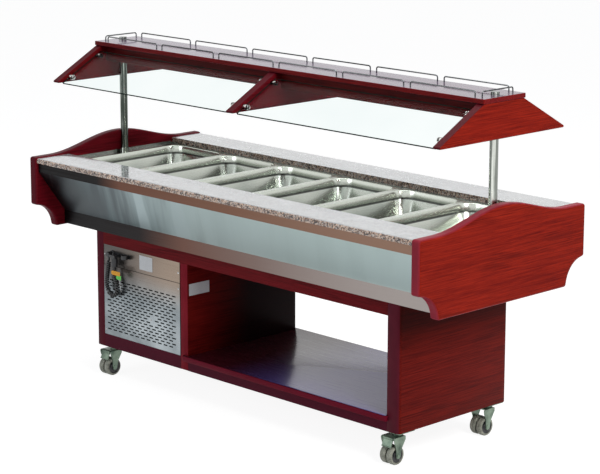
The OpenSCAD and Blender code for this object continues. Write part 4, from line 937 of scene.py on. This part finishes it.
def make_wheels(corner, x, y):
    """Twin wheels and the sleeve between them, set off from the fork's king pin at x, y."""
    node = f"wheels_{corner}"
    centre = (x, y - WHEEL_TRAIL, WHEEL_R)
    bm = bmesh.new()
    for side in (-1, 1):
        lathe(bm, [(side * d * MM, r * MM) for d, r in WHEEL_PROFILE], centre, X, 64)
    lathe(bm, [(d * MM, r * MM) for d, r in AXLE_SLEEVE], centre, X, 32)
    material = wheel_material(f"wheel_{corner}", centre, TREAD_R * MM)
    piece = new_piece(f"twin_wheel_{corner}", finish_mesh(bm, node, 40), material, like=node)
    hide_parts(node)


for corner, (x, y) in CORNERS.items():
    make_wheels(corner, x, y)

# ---------------------------------------------------------------- studio

FLOOR_HALF = 60
FLOOR_GREY = (0.86, 0.86, 0.86, 1)
FLOOR_WHITE = 1.3
FLOOR_SHARE = 0.7
AMBIENT_COLOUR = (0.93, 0.95, 1.0, 1)
AMBIENT = 0.27
WHITE = 1.0


def background_rays(tree):
    """1 for the rays that see the background itself: camera, glossy and transmission rays."""
    path = tree.nodes.new("ShaderNodeLightPath")
    total = path.outputs["Is Camera Ray"]
    for name in ("Is Glossy Ray", "Is Transmission Ray"):
        add = tree.nodes.new("ShaderNodeMath")
        add.operation = "ADD"
        add.use_clamp = True
        tree.links.new(total, add.inputs[0])
        tree.links.new(path.outputs[name], add.inputs[1])
        total = add.outputs[0]
    return total


def mix_shaders(tree, factor, a, b, out):
    mix = tree.nodes.new("ShaderNodeMixShader")
    for socket, value in zip(mix.inputs, (factor, a, b)):
        tree.links.new(value, socket)
    tree.links.new(mix.outputs[0], out.inputs["Surface"])


def make_floor():
    """A pale floor that takes shadows and shows near white to the background's rays."""
    bm = bmesh.new()
    bmesh.ops.create_grid(bm, x_segments=8, y_segments=8, size=FLOOR_HALF)
    mesh = bpy.data.meshes.new("floor")
    bm.to_mesh(mesh)
    bm.free()
    floor = bpy.data.objects.new("floor", mesh)
    bpy.context.scene.collection.objects.link(floor)
    material = bpy.data.materials.new("pale_floor")
    material.use_nodes = True
    tree = material.node_tree
    tree.nodes.clear()
    out = tree.nodes.new("ShaderNodeOutputMaterial")
    diffuse = tree.nodes.new("ShaderNodeBsdfDiffuse")
    diffuse.inputs["Color"].default_value = FLOOR_GREY
    light = tree.nodes.new("ShaderNodeEmission")
    light.inputs["Strength"].default_value = FLOOR_WHITE
    share = tree.nodes.new("ShaderNodeMath")
    share.operation = "MULTIPLY"
    share.inputs[1].default_value = FLOOR_SHARE
    tree.links.new(background_rays(tree), share.inputs[0])
    mix_shaders(tree, share.outputs[0], diffuse.outputs[0], light.outputs[0], out)
    mesh.materials.append(material)


def make_world():
    """Soft light from all round, and white for the background's rays."""
    world = bpy.data.worlds.new("studio")
    world.use_nodes = True
    tree = world.node_tree
    tree.nodes.clear()
    out = tree.nodes.new("ShaderNodeOutputWorld")
    ambient = tree.nodes.new("ShaderNodeBackground")
    ambient.inputs["Color"].default_value = AMBIENT_COLOUR
    ambient.inputs["Strength"].default_value = AMBIENT
    white = tree.nodes.new("ShaderNodeBackground")
    white.inputs["Color"].default_value = (1, 1, 1, 1)
    white.inputs["Strength"].default_value = WHITE
    mix_shaders(tree, background_rays(tree), ambient.outputs[0], white.outputs[0], out)
    bpy.context.scene.world = world


def area_light(name, at, towards, size, energy, colour=(1, 1, 1)):
    """A soft rectangular lamp that faces a point."""
    data = bpy.data.lights.new(name, "AREA")
    data.shape = "RECTANGLE"
    data.size, data.size_y = size
    data.energy = energy
    data.color = colour
    lamp = bpy.data.objects.new(name, data)
    lamp.location = at
    lamp.rotation_euler = (Vector(towards) - Vector(at)).to_track_quat("-Z", "Y").to_euler()
    bpy.context.scene.collection.objects.link(lamp)


make_floor()
make_world()
area_light("key", (4.4, -0.9, 3.4), (0.4, 0, 0.7), (1.8, 1.6), 138, (1.0, 0.98, 0.95))
area_light("front", (-1.5, -5.0, 2.6), (0, 0, 0.7), (3.0, 1.6), 48, (0.9, 0.94, 1.0))
area_light("top", (0, 0.6, 4.6), (0, 0, 0.9), (4.0, 2.0), 90)

bpy.context.scene.view_settings.view_transform = "Standard"
